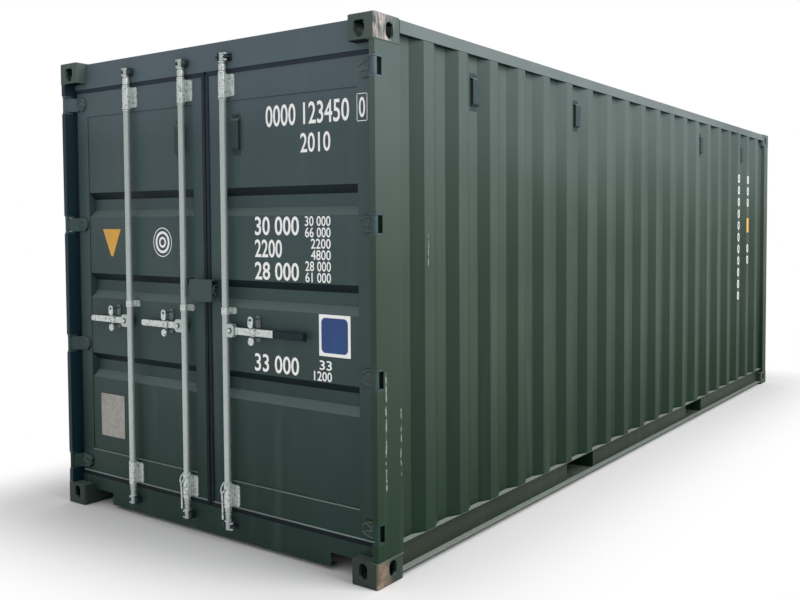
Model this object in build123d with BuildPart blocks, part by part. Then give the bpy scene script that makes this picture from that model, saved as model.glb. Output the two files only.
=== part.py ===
# Freight container, 20 ft long and 8 ft 6 in high, with two doors at one end.
# Frame: X across the width, +X on the right when facing the doors; the doors are at -Y and
# the blind end at +Y; Z up from the ground. Origin under the middle. Millimetres.

import os
from math import atan2, degrees

from build123d import *

os.makedirs("parts", exist_ok=True)

# Outer size
width = 2438
length = 6058
height = 2591

# Corner castings
casting_length = 178
casting_width = 162
casting_height = 118
casting_plate = 28.5
casting_wall = 15
casting_crown = 13
casting_corner = 7
casting_edge = 4
slot_length = 124
slot_width = 63.5
slot_from_end = 102.5
slot_from_side = 89.5
side_hole_height = 76
side_hole_width = 51
shield_hole_width = 66
shield_hole_height = 50
shield_hole_corner = 10
shield_hole_rise = 14
hole_centre = 70

# Steel thicknesses
post_wall = 6
rail_wall = 4.5
tube_wall = 3
sheet = 2
frame_inset = 3
frame_inset_end = 5
wall_inset = 2
cut_margin = 1

# Posts
post_width = 46
post_lip_width = 32
post_step = 74
end_post_width = 56
end_post_step = 57
end_post_recess = 36
end_post_face = 60

# Rails
top_rail_size = 60
top_rail_drop = 6
bottom_rail_low = 26
bottom_rail_high = 165
bottom_rail_depth = 48
door_recess = 60
header_drop = 148
header_depth = 62
sill_low = 20
sill_high = 163
sill_depth = 90
sill_notch_width = 187
sill_notch_top = 88
end_bottom_rail_depth = 52

# Floor and its frame
floor_thickness = 28
floor_gap = 2
member_low = 17.5
member_height = 122
member_flange = 45
member_web = 4
member_pitch = 287
pocket_centres = 2050
pocket_width = 360
pocket_strap_width = 200
pocket_strap = 6

# Side walls
side_pitch = 278
side_flat = 72
side_slope = 68
side_depth = 36

# End wall
end_pitch = 250
end_flat = 110
end_slope = 18
end_depth = 45

# Roof
roof_pitch = 209
roof_margin = 80
roof_flat = 91
roof_slope = 13.5
roof_depth = 20

# Doors
door_gap = 12
seam_gap = 16
door_thickness = 50
door_setback = 64
stile_width = 100
door_rail_height = 150
panel_inset = 4
channel_pitch = 470
channel_count = 3
channel_drop = 5
channel_mouth = 142
channel_floor = 62
channel_depth = 36
seal_thickness = 5
seal_cover = 18
seal_reach = 6
seam_seal = 4

# Hinges
hinge_count = 4
hinge_low_rise = 72
hinge_high_drop = 76
hinge_axis_in = 16
hinge_axis_back = 17
knuckle_radius = 12
hinge_pin_radius = 7
pin_clearance = 0.1
blade_height = 78
blade_arm = 12
blade_plate = 10
blade_reach = 135
blade_end_chamfer = 24
knuckle_gap = 1
lug_height = 12
lug_corner = 7
hinge_notch_side = 47
hinge_notch_inner = 50

# Locking bars
bar_radius = 17
bar_depth = 36
neck_radius = 14
neck_height = 100
outer_bar_from_edge = 520
inner_bar_from_seam = 154
right_bar_from_seam = 160
bar_low = 76
bar_high_drop = 71
bar_clearance = 0.5
cam_prong_reach = 34
cam_prong_width = 18
cam_prong_height = 9
cam_prong_chamfer = 6
keeper_clearance = 7
keeper_cheek = 8
keeper_base = 3
keeper_height = 40
keeper_depth = 32
keeper_lug_reach = 46
keeper_lug_slant = 12
bracket_height = 118
bracket_sleeve = 3
bracket_web = 24
bracket_plate = 6
bracket_plate_reach = 60
bracket_plate_height = 112
bracket_plate_chamfer = 8
bracket_low_rise = 76
bracket_high_drop = 72
guide_z = 1210
guide_height = 36
guide_plate_reach = 50

# Handles
handle_z = 1112
hub_reach = 70
hub_pin_reach = 42
handle_thickness = 8
handle_height = 36
left_tip_height = 32
grip_end_cap = 12
fork_gap = 1
fork_ear = 6
fork_corner = 12
handle_tip_corner = 8
boss_radius = 13
boss_height = 6
left_handle_to_next = 108
right_handle_length = 567
right_grip_length = 210
handle_pin_radius = 5
catch_offset = 148
right_catch_offset = 211
retainer_height = 134
retainer_width = 34
retainer_plate = 5
catch_pin_height = 66
catch_pin_radius = 5
catch_thickness = 6
handle_clearance = 6
retainer_rise = 16
shelf_width = 24
shelf_thickness = 6
catch_eye_radius = 12
catch_width = 18
catch_gap = 11
ear_half_height = 34
grip_depth = 22
grip_height = 40
grip_radius = 8
box_clearance = 1

# Lock box over the door seam
lock_box_left = -80
lock_box_right = 94
lock_box_low = 1253
lock_box_high = 1366
lock_box_plate = 4
lock_box_front = 12
lock_box_split_gap = 8
lock_eye_inset = 18
lock_eye_thickness = 5
lock_eye_reach = 30
lock_eye_height = 44
lock_eye_hole = 8
lock_eye_z = 1300

# Vents
side_vent_valley_counts = (2, 6)
side_vent_drop = 151
side_vent_height = 195
side_vent_width = 60
side_vent_depth = 22
vent_sheet = 2
vent_flange = 22
vent_slope = 12
door_vent_drop = 219
door_vent_height = 208
door_vent_width = 60
door_vent_depth = 16
door_vent_places = (-215, 232)

# Places worked out from the sizes
half_width = width / 2
half_length = length / 2
skin_x = half_width - frame_inset
skin_y = half_length - frame_inset_end
post_inner_x = skin_x - post_width
casting_inner_x = half_width - casting_width
casting_inner_y = half_length - casting_length
post_rear_y = casting_inner_y - frame_inset
casting_top_low = height - casting_height
roof_top = height - top_rail_drop
rail_low = roof_top - top_rail_size
rail_inner_x = skin_x - top_rail_size
header_y = -(half_length - door_recess)
header_low = height - header_drop
door_y = -(half_length - door_setback)
door_back_y = door_y + door_thickness
door_edge_x = post_inner_x - door_gap
seam_x = seam_gap / 2
door_low = sill_high + door_gap
door_high = header_low - door_gap
hinge_x = half_width - hinge_axis_in
hinge_y = -(half_length - hinge_axis_back)
bar_y = -(half_length - bar_depth)
bar_high = height - bar_high_drop
left_outer_x = outer_bar_from_edge - door_edge_x
left_inner_x = -(seam_x + inner_bar_from_seam)
right_x = seam_x + right_bar_from_seam
left_handle_length = left_inner_x - left_outer_x - left_handle_to_next
web_x = skin_x - bottom_rail_depth
floor_top = member_low + member_height + floor_thickness
wall_outer_x = skin_x - wall_inset
panel_y = door_y + panel_inset
cam_height = 2 * (cam_prong_height + keeper_clearance) + keeper_cheek
lock_box_y = -(half_length - lock_box_front)
shelf_top = handle_z - handle_height / 2 - handle_clearance
catch_tip_z = handle_z + handle_height / 2 + handle_clearance
catch_front_y = bar_y - handle_thickness / 2 - catch_gap - catch_thickness
hinge_low = door_low + hinge_low_rise
hinge_pitch = (door_high - hinge_high_drop - hinge_low) / (hinge_count - 1)
hinge_heights = [hinge_low + hinge_pitch * place for place in range(hinge_count)]
sides = (("left", -1), ("right", 1))


def ridged_edge(start, end, centres, flat, slope, outer, inner):
    """Points of a sheet's ridged edge, as (place along the sheet, level)."""
    edge = [(start, inner)]
    for centre in centres:
        edge.append((centre - flat / 2 - slope, inner))
        edge.append((centre - flat / 2, outer))
        edge.append((centre + flat / 2, outer))
        edge.append((centre + flat / 2 + slope, inner))
    edge.append((end, inner))
    return edge


def evenly(pitch, count):
    """Centres of a row of like features about the middle."""
    return [pitch * (place - (count - 1) / 2) for place in range(count)]


def fitted(room, pitch):
    """Centres of as many like features as the room holds."""
    return evenly(pitch, int(room / pitch))


def vent_edge(base, out, depth, low, high):
    """Points of a pressed vent cover seen from its end, as (level, height), with two flanges."""
    body_low = low + vent_flange + vent_slope
    body_high = high - vent_flange - vent_slope
    return [
        (base + out * vent_sheet, low),
        (base + out * vent_sheet, low + vent_flange),
        (base + out * depth, body_low),
        (base + out * depth, body_high),
        (base + out * vent_sheet, high - vent_flange),
        (base + out * vent_sheet, high),
        (base, high),
        (base, high - vent_flange),
        (base + out * (depth - vent_sheet), body_high),
        (base + out * (depth - vent_sheet), body_low),
        (base, low + vent_flange),
        (base, low),
    ]


# Corner castings: hollow blocks with a slot in the load face and an eye in each outer side
casting_x = half_width - casting_width / 2
casting_y = half_length - casting_length / 2
eye_x = half_width - slot_from_side
eye_y = half_length - slot_from_end
for level, low, load_face in (("bottom", 0, 0), ("top", casting_top_low, -1)):
    bottom = level == "bottom"
    cavity_low = low + (casting_plate if bottom else casting_crown)
    cavity_height = casting_height - casting_plate - casting_crown
    eye_z = low + (hole_centre if bottom else casting_height - hole_centre)
    with BuildPart() as castings:
        with BuildSketch(Plane.XY.offset(low)):
            with Locations((casting_x, -casting_y)):
                Rectangle(casting_width, casting_length)
        extrude(amount=casting_height)
        chamfer(castings.edges().filter_by(Axis.Z), casting_corner)
        chamfer(castings.faces().sort_by(Axis.Z)[load_face].edges(), casting_edge)
        with BuildSketch(Plane.XY.offset(cavity_low)):
            with Locations((casting_x, -casting_y)):
                Rectangle(casting_width - 2 * casting_wall, casting_length - 2 * casting_wall)
        extrude(amount=cavity_height, mode=Mode.SUBTRACT)
        slot_start = low if bottom else low + casting_height - casting_plate
        with BuildSketch(Plane.XY.offset(slot_start)):
            with Locations((eye_x, -eye_y)):
                SlotOverall(slot_length, slot_width, rotation=90)
        extrude(amount=casting_plate, mode=Mode.SUBTRACT)
        with BuildSketch(Plane.YZ.offset(half_width - casting_wall)):
            with Locations((-eye_y, eye_z)):
                SlotOverall(side_hole_height, side_hole_width, rotation=90)
        extrude(amount=casting_wall, mode=Mode.SUBTRACT)
        with BuildSketch(Plane.XZ.offset(half_length - casting_wall)) as end_hole:
            with Locations((eye_x, eye_z)):
                SlotOverall(side_hole_height, side_hole_width, rotation=90)
            if not bottom:
                with Locations((eye_x, eye_z + shield_hole_rise)):
                    Rectangle(shield_hole_width, shield_hole_height)
                shield_top = end_hole.vertices().group_by(Axis.Y)[-1]
                chamfer(shield_top, shield_hole_corner)
        extrude(amount=casting_wall, mode=Mode.SUBTRACT)
        mirror(about=Plane.YZ)
        mirror(about=Plane.XZ)
    castings.part.label = f"{level}_corner_castings"
    export_step(castings.part, f"parts/{level}_corner_castings.step")

# Door posts: closed pressed sections with a lip beside the door, notched for the hinges
post_low = casting_height
post_height = casting_top_low - casting_height
post_front_y = -skin_y
post_step_y = -(half_length - post_step)
lip_x = skin_x - post_lip_width
with BuildPart() as door_posts:
    with BuildSketch(Plane.XY.offset(post_low)) as post_section:
        with BuildLine():
            Polyline(
                (skin_x, post_front_y),
                (skin_x, -post_rear_y),
                (post_inner_x, -post_rear_y),
                (post_inner_x, post_step_y),
                (lip_x, post_step_y),
                (lip_x, post_front_y),
                close=True,
            )
        make_face()
        offset(amount=-post_wall, kind=Kind.INTERSECTION, mode=Mode.SUBTRACT)
    extrude(amount=post_height)
    for hinge_z in hinge_heights:
        notch_half = blade_height / 2 + knuckle_gap + lug_height
        with BuildSketch(Plane.XY.offset(hinge_z - notch_half)):
            with BuildLine():
                Polyline(
                    (lip_x - cut_margin, post_front_y - cut_margin),
                    (skin_x + cut_margin, post_front_y - cut_margin),
                    (skin_x + cut_margin, post_front_y + hinge_notch_side),
                    (hinge_x - knuckle_radius, post_front_y + hinge_notch_side),
                    (lip_x + cut_margin, post_front_y + hinge_notch_inner),
                    (lip_x - cut_margin, post_front_y + hinge_notch_inner),
                    close=True,
                )
            make_face()
        extrude(amount=2 * notch_half, mode=Mode.SUBTRACT)
    mirror(about=Plane.YZ)
door_posts.part.label = "door_posts"
export_step(door_posts.part, "parts/door_posts.step")

# Blind end posts: closed pressed sections with a step where the side wall meets them
end_front_y = half_length - end_post_step
end_inner_x = skin_x - end_post_width
with BuildPart() as end_posts:
    with BuildSketch(Plane.XY.offset(post_low)):
        with BuildLine():
            Polyline(
                (skin_x, skin_y),
                (skin_x, end_front_y - end_post_face),
                (skin_x - end_post_recess, end_front_y - end_post_face),
                (skin_x - end_post_recess, post_rear_y),
                (end_inner_x, post_rear_y),
                (end_inner_x, skin_y),
                close=True,
            )
        make_face()
        offset(amount=-post_wall, kind=Kind.INTERSECTION, mode=Mode.SUBTRACT)
    extrude(amount=post_height)
    mirror(about=Plane.YZ)
end_posts.part.label = "end_posts"
export_step(end_posts.part, "parts/end_posts.step")

# Door header: a pressed channel across the posts, cut round the top castings, open inwards
with BuildPart() as door_header:
    with BuildSketch(Plane.YZ.offset(-post_inner_x)):
        with BuildLine():
            Polyline(
                (header_y, header_low),
                (header_y, roof_top),
                (header_y + header_depth, roof_top),
                (header_y + header_depth, rail_low),
                (header_y + header_depth - rail_wall, rail_low),
                (header_y + header_depth - rail_wall, roof_top - rail_wall),
                (header_y + rail_wall, roof_top - rail_wall),
                (header_y + rail_wall, header_low + rail_wall),
                (header_y + header_depth / 2, header_low + rail_wall),
                (header_y + header_depth / 2, header_low),
                close=True,
            )
        make_face()
    extrude(amount=2 * post_inner_x)
    with BuildSketch(Plane.XY.offset(casting_top_low)):
        with GridLocations(2 * casting_x, 2 * casting_y, 2, 2):
            Rectangle(casting_width, casting_length)
    extrude(amount=casting_height, mode=Mode.SUBTRACT)
door_header.part.label = "door_header"
export_step(door_header.part, "parts/door_header.step")

# Door sill: a pressed channel whose lower edge is cut away beside each casting
with BuildPart() as door_sill:
    with BuildSketch(Plane.YZ.offset(-post_inner_x)):
        with BuildLine():
            Polyline(
                (header_y, sill_low),
                (header_y, sill_high),
                (header_y + sill_depth, sill_high),
                (header_y + sill_depth, sill_high - rail_wall),
                (header_y + rail_wall, sill_high - rail_wall),
                (header_y + rail_wall, sill_low + rail_wall),
                (header_y + sill_depth / 2, sill_low + rail_wall),
                (header_y + sill_depth / 2, sill_low),
                close=True,
            )
        make_face()
    extrude(amount=2 * post_inner_x)
    with BuildSketch(Plane.XY):
        with GridLocations(2 * casting_x, 2 * casting_y, 2, 2):
            Rectangle(casting_width, casting_length)
    extrude(amount=casting_height, mode=Mode.SUBTRACT)
    with BuildSketch(Plane.XY):
        with Locations(
            (casting_inner_x - sill_notch_width / 2, header_y + sill_depth / 2),
            (sill_notch_width / 2 - casting_inner_x, header_y + sill_depth / 2),
        ):
            Rectangle(sill_notch_width, sill_depth)
    extrude(amount=sill_notch_top, mode=Mode.SUBTRACT)
door_sill.part.label = "door_sill"
export_step(door_sill.part, "parts/door_sill.step")

# Blind end top rail: a square tube between the castings
with BuildPart() as end_top_rail:
    with BuildSketch(Plane.YZ.offset(-casting_inner_x)):
        with Locations((skin_y - top_rail_size / 2, roof_top - top_rail_size / 2)):
            Rectangle(top_rail_size, top_rail_size)
            Rectangle(top_rail_size - 2 * tube_wall, top_rail_size - 2 * tube_wall, mode=Mode.SUBTRACT)
    extrude(amount=2 * casting_inner_x)
end_top_rail.part.label = "end_top_rail"
export_step(end_top_rail.part, "parts/end_top_rail.step")

# Blind end bottom rail: a pressed channel, open inwards
rail_back_y = skin_y - end_bottom_rail_depth
with BuildPart() as end_bottom_rail:
    with BuildSketch(Plane.YZ.offset(-end_inner_x)):
        with BuildLine():
            Polyline(
                (skin_y, sill_low),
                (skin_y, sill_high),
                (rail_back_y, sill_high),
                (rail_back_y, sill_high - rail_wall),
                (skin_y - rail_wall, sill_high - rail_wall),
                (skin_y - rail_wall, sill_low + rail_wall),
                (rail_back_y, sill_low + rail_wall),
                (rail_back_y, sill_low),
                close=True,
            )
        make_face()
    extrude(amount=2 * end_inner_x)
    with BuildSketch(Plane.XY):
        with GridLocations(2 * casting_x, 2 * casting_y, 2, 2):
            Rectangle(casting_width, casting_length)
    extrude(amount=casting_height, mode=Mode.SUBTRACT)
end_bottom_rail.part.label = "end_bottom_rail"
export_step(end_bottom_rail.part, "parts/end_bottom_rail.step")

# Top side rails: square tubes between the castings
with BuildPart() as top_side_rails:
    with BuildSketch(Plane.XZ.offset(-casting_inner_y)):
        with Locations((skin_x - top_rail_size / 2, roof_top - top_rail_size / 2)):
            Rectangle(top_rail_size, top_rail_size)
            Rectangle(top_rail_size - 2 * tube_wall, top_rail_size - 2 * tube_wall, mode=Mode.SUBTRACT)
    extrude(amount=2 * casting_inner_y)
    mirror(about=Plane.YZ)
top_side_rails.part.label = "top_side_rails"
export_step(top_side_rails.part, "parts/top_side_rails.step")

# Bottom side rails: channels open outwards, cut through for the fork pockets
pocket_low = bottom_rail_low + rail_wall
pocket_top = member_low + member_height - rail_wall
with BuildPart() as bottom_side_rails:
    with BuildSketch(Plane.XZ.offset(-post_rear_y)):
        with BuildLine():
            Polyline(
                (web_x, bottom_rail_low),
                (skin_x, bottom_rail_low),
                (skin_x, bottom_rail_low + rail_wall),
                (web_x + rail_wall, bottom_rail_low + rail_wall),
                (web_x + rail_wall, bottom_rail_high - rail_wall),
                (skin_x, bottom_rail_high - rail_wall),
                (skin_x, bottom_rail_high),
                (web_x, bottom_rail_high),
                close=True,
            )
        make_face()
    extrude(amount=2 * post_rear_y)
    with BuildSketch(Plane.YZ.offset(web_x)):
        with Locations(
            (-pocket_centres / 2, (pocket_low + pocket_top) / 2),
            (pocket_centres / 2, (pocket_low + pocket_top) / 2),
        ):
            Rectangle(pocket_width, pocket_top - pocket_low)
    extrude(amount=rail_wall, mode=Mode.SUBTRACT)
    mirror(about=Plane.YZ)
bottom_side_rails.part.label = "bottom_side_rails"
export_step(bottom_side_rails.part, "parts/bottom_side_rails.step")

# Side walls: sheet pressed into upright ridges, between the posts and the side rails
side_ridges = fitted(2 * post_rear_y, side_pitch)
side_edge = ridged_edge(
    -post_rear_y,
    post_rear_y,
    side_ridges,
    side_flat,
    side_slope,
    wall_outer_x,
    wall_outer_x - side_depth,
)
for side, sign in sides:
    with BuildPart() as side_wall:
        with BuildSketch(Plane.XY.offset(bottom_rail_high)):
            with BuildLine():
                outer = [(sign * level, place) for place, level in side_edge]
                inner = [(sign * (level - sheet), place) for place, level in reversed(side_edge)]
                Polyline(*outer, *inner, close=True)
            make_face()
        extrude(amount=rail_low - bottom_rail_high)
    side_wall.part.label = f"{side}_side_wall"
    export_step(side_wall.part, f"parts/{side}_side_wall.step")

# End wall: sheet pressed into upright ridges between the end posts
end_edge = ridged_edge(
    -end_inner_x,
    end_inner_x,
    fitted(2 * end_inner_x, end_pitch),
    end_flat,
    end_slope,
    skin_y - wall_inset,
    skin_y - wall_inset - end_depth,
)
with BuildPart() as end_wall:
    with BuildSketch(Plane.XY.offset(sill_high)):
        with BuildLine():
            outer = [(place, level) for place, level in end_edge]
            inner = [(place, level - sheet) for place, level in reversed(end_edge)]
            Polyline(*outer, *inner, close=True)
        make_face()
    extrude(amount=rail_low - sill_high)
    with BuildSketch(Plane.XY.offset(casting_top_low)):
        with GridLocations(2 * casting_x, 2 * casting_y, 2, 2):
            Rectangle(casting_width, casting_length)
    extrude(amount=casting_height, mode=Mode.SUBTRACT)
end_wall.part.label = "end_wall"
export_step(end_wall.part, "parts/end_wall.step")

# Roof: sheet pressed into ridges across the width, cut out round the four castings
roof_front_y = header_y + header_depth
roof_back_y = skin_y - top_rail_size
roof_edge = ridged_edge(
    roof_front_y,
    roof_back_y,
    fitted(roof_back_y - roof_front_y - 2 * roof_margin, roof_pitch),
    roof_flat,
    roof_slope,
    roof_top - sheet,
    roof_top - sheet - roof_depth,
)
with BuildPart() as roof:
    with BuildSketch(Plane.YZ.offset(-rail_inner_x)):
        with BuildLine():
            outer = [(place, level) for place, level in roof_edge]
            inner = [(place, level - sheet) for place, level in reversed(roof_edge)]
            Polyline(*outer, *inner, close=True)
        make_face()
    extrude(amount=2 * rail_inner_x)
    with BuildSketch(Plane.XY.offset(casting_top_low)):
        with GridLocations(2 * casting_x, 2 * casting_y, 2, 2):
            Rectangle(casting_width, casting_length)
    extrude(amount=casting_height, mode=Mode.SUBTRACT)
roof.part.label = "roof"
export_step(roof.part, "parts/roof.step")

# Floor: plywood laid on the cross members
floor_front_y = header_y + sill_depth + floor_gap
floor_back_y = rail_back_y - floor_gap
with BuildPart() as floor:
    with BuildSketch(Plane.XY.offset(floor_top - floor_thickness)):
        with Locations((0, (floor_front_y + floor_back_y) / 2)):
            Rectangle(2 * (end_inner_x - floor_gap), floor_back_y - floor_front_y)
    extrude(amount=floor_thickness)
floor.part.label = "floor"
export_step(floor.part, "parts/floor.step")

# Cross members: channels on edge between the side rails, none where a fork pocket runs
pocket_half = pocket_width / 2 + rail_wall
member_places = []
for place in fitted(2 * post_rear_y, member_pitch):
    clear_of_pocket = abs(abs(place) - pocket_centres / 2) > pocket_half + member_flange
    if clear_of_pocket:
        member_places.append(place)
with BuildPart() as cross_members:
    with BuildSketch(Plane.YZ.offset(-web_x)):
        for place in member_places:
            with BuildLine():
                Polyline(
                    (place, member_low),
                    (place, member_low + member_height),
                    (place + member_flange, member_low + member_height),
                    (place + member_flange, member_low + member_height - member_web),
                    (place + member_web, member_low + member_height - member_web),
                    (place + member_web, member_low + member_web),
                    (place + member_flange, member_low + member_web),
                    (place + member_flange, member_low),
                    close=True,
                )
            make_face()
    extrude(amount=2 * web_x)
cross_members.part.label = "cross_members"
export_step(cross_members.part, "parts/cross_members.step")

# Fork pockets: two tunnels across the underside, with a strap plate under each mouth
with BuildPart() as fork_pockets:
    with BuildSketch(Plane.YZ.offset(-web_x)):
        with Locations((pocket_centres / 2, member_low + member_height / 2)):
            Rectangle(2 * pocket_half, member_height)
        with Locations((pocket_centres / 2, (member_low + pocket_top) / 2)):
            Rectangle(pocket_width, pocket_top - member_low, mode=Mode.SUBTRACT)
    extrude(amount=2 * web_x)
    with BuildSketch(Plane.XY.offset(member_low)):
        with Locations(
            (web_x - pocket_strap_width / 2, pocket_centres / 2),
            (pocket_strap_width / 2 - web_x, pocket_centres / 2),
        ):
            Rectangle(pocket_strap_width, pocket_width)
    extrude(amount=pocket_strap)
    mirror(about=Plane.XZ)
fork_pockets.part.label = "fork_pockets"
export_step(fork_pockets.part, "parts/fork_pockets.step")

# Hinge lugs: a pair of plates with a pin at each hinge, welded into the post's notch
with BuildPart() as hinge_lugs:
    for hinge_z in hinge_heights:
        knuckle_half = blade_height / 2 + knuckle_gap
        for lug_low in (hinge_z + knuckle_half, hinge_z - knuckle_half - lug_height):
            with BuildSketch(Plane.XY.offset(lug_low)):
                with BuildLine():
                    Polyline(
                        (skin_x - lug_corner, post_front_y),
                        (lip_x, post_front_y),
                        (lip_x, post_front_y + hinge_notch_side),
                        (skin_x, post_front_y + hinge_notch_side),
                        (skin_x, post_front_y + lug_corner),
                        close=True,
                    )
                make_face()
            extrude(amount=lug_height)
        with BuildSketch(Plane.XY.offset(hinge_z - knuckle_half)):
            with Locations((hinge_x, hinge_y)):
                Circle(hinge_pin_radius)
        extrude(amount=2 * knuckle_half)
    mirror(about=Plane.YZ)
hinge_lugs.part.label = "hinge_lugs"
export_step(hinge_lugs.part, "parts/hinge_lugs.step")

# Bar keepers: forged plates on header and sill, with a lug between the prongs of each cam
bar_places = ((left_outer_x, -1), (left_inner_x, -1), (right_x, 1))
keeper_side = neck_radius + keeper_clearance
with BuildPart() as bar_keepers:
    for cam_z in (bar_low + cam_height / 2, bar_high - cam_height / 2):
        for bar_x, sign in bar_places:
            cheek_x = bar_x - sign * (keeper_side + keeper_cheek / 2)
            lug_x = bar_x + sign * (keeper_side + keeper_lug_reach) / 2
            with BuildSketch(Plane.XZ.offset(-header_y)):
                with Locations((bar_x + sign * (keeper_lug_reach - keeper_side - keeper_cheek) / 2, cam_z)):
                    Rectangle(keeper_side + keeper_cheek + keeper_lug_reach, keeper_height)
            extrude(amount=keeper_base)
            with BuildSketch(Plane.XZ.offset(-header_y)):
                with Locations((cheek_x, cam_z)):
                    Rectangle(keeper_cheek, keeper_height)
            extrude(amount=keeper_depth)
            with BuildSketch(Plane.XY.offset(cam_z - keeper_cheek / 2)) as keeper_lug:
                with Locations((lug_x, header_y - keeper_depth / 2)):
                    Rectangle(keeper_lug_reach - keeper_side, keeper_depth)
                lug_front = keeper_lug.vertices().group_by(Axis.Y)[0]
                chamfer(lug_front.sort_by(Axis.X)[-1 if sign > 0 else 0], keeper_lug_slant)
            extrude(amount=keeper_cheek)
bar_keepers.part.label = "bar_keepers"
export_step(bar_keepers.part, "parts/bar_keepers.step")

# Side vents: pressed covers in the valleys of the side walls, open at both sides
valley_x = wall_outer_x - side_depth
side_vent_high = height - side_vent_drop
side_vent_low = side_vent_high - side_vent_height
with BuildPart() as side_vents:
    for valley_count in side_vent_valley_counts:
        vent_y = side_ridges[valley_count - 1] + side_pitch / 2
        with BuildSketch(Plane.XZ.offset(-(vent_y + side_vent_width / 2))):
            with BuildLine():
                Polyline(*vent_edge(valley_x, 1, side_vent_depth, side_vent_low, side_vent_high), close=True)
            make_face()
        extrude(amount=side_vent_width)
    mirror(about=Plane.YZ)
    mirror(about=Plane.XZ)
side_vents.part.label = "side_vents"
export_step(side_vents.part, "parts/side_vents.step")

# Doors
frame_low = door_low + door_rail_height
frame_high = door_high - door_rail_height
door_height = door_high - door_low
bracket_low = door_low + bracket_low_rise
bracket_high = door_high - bracket_high_drop
door_vent_high = door_high - door_vent_drop
door_vent_low = door_vent_high - door_vent_height
blade_tip_x = hinge_x - blade_reach
arm_end_x = door_edge_x - blade_arm
arm_end_y = door_y - blade_plate / 2
arm_length = ((hinge_x - arm_end_x) ** 2 + (arm_end_y - hinge_y) ** 2) ** 0.5
arm_angle = degrees(atan2(arm_end_y - hinge_y, arm_end_x - hinge_x))
channel_middle = (door_low + door_high) / 2 - channel_drop
channel_edge = [(panel_y, frame_low)]
for channel_rise in evenly(channel_pitch, channel_count):
    channel_z = channel_middle + channel_rise
    channel_edge.append((panel_y, channel_z - channel_mouth / 2))
    channel_edge.append((panel_y + channel_depth, channel_z - channel_floor / 2))
    channel_edge.append((panel_y + channel_depth, channel_z + channel_floor / 2))
    channel_edge.append((panel_y, channel_z + channel_mouth / 2))
channel_edge.append((panel_y, frame_high))
door_gear = {
    "left": (("left_outer", left_outer_x), ("left_inner", left_inner_x)),
    "right": (("right", right_x),),
}
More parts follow.
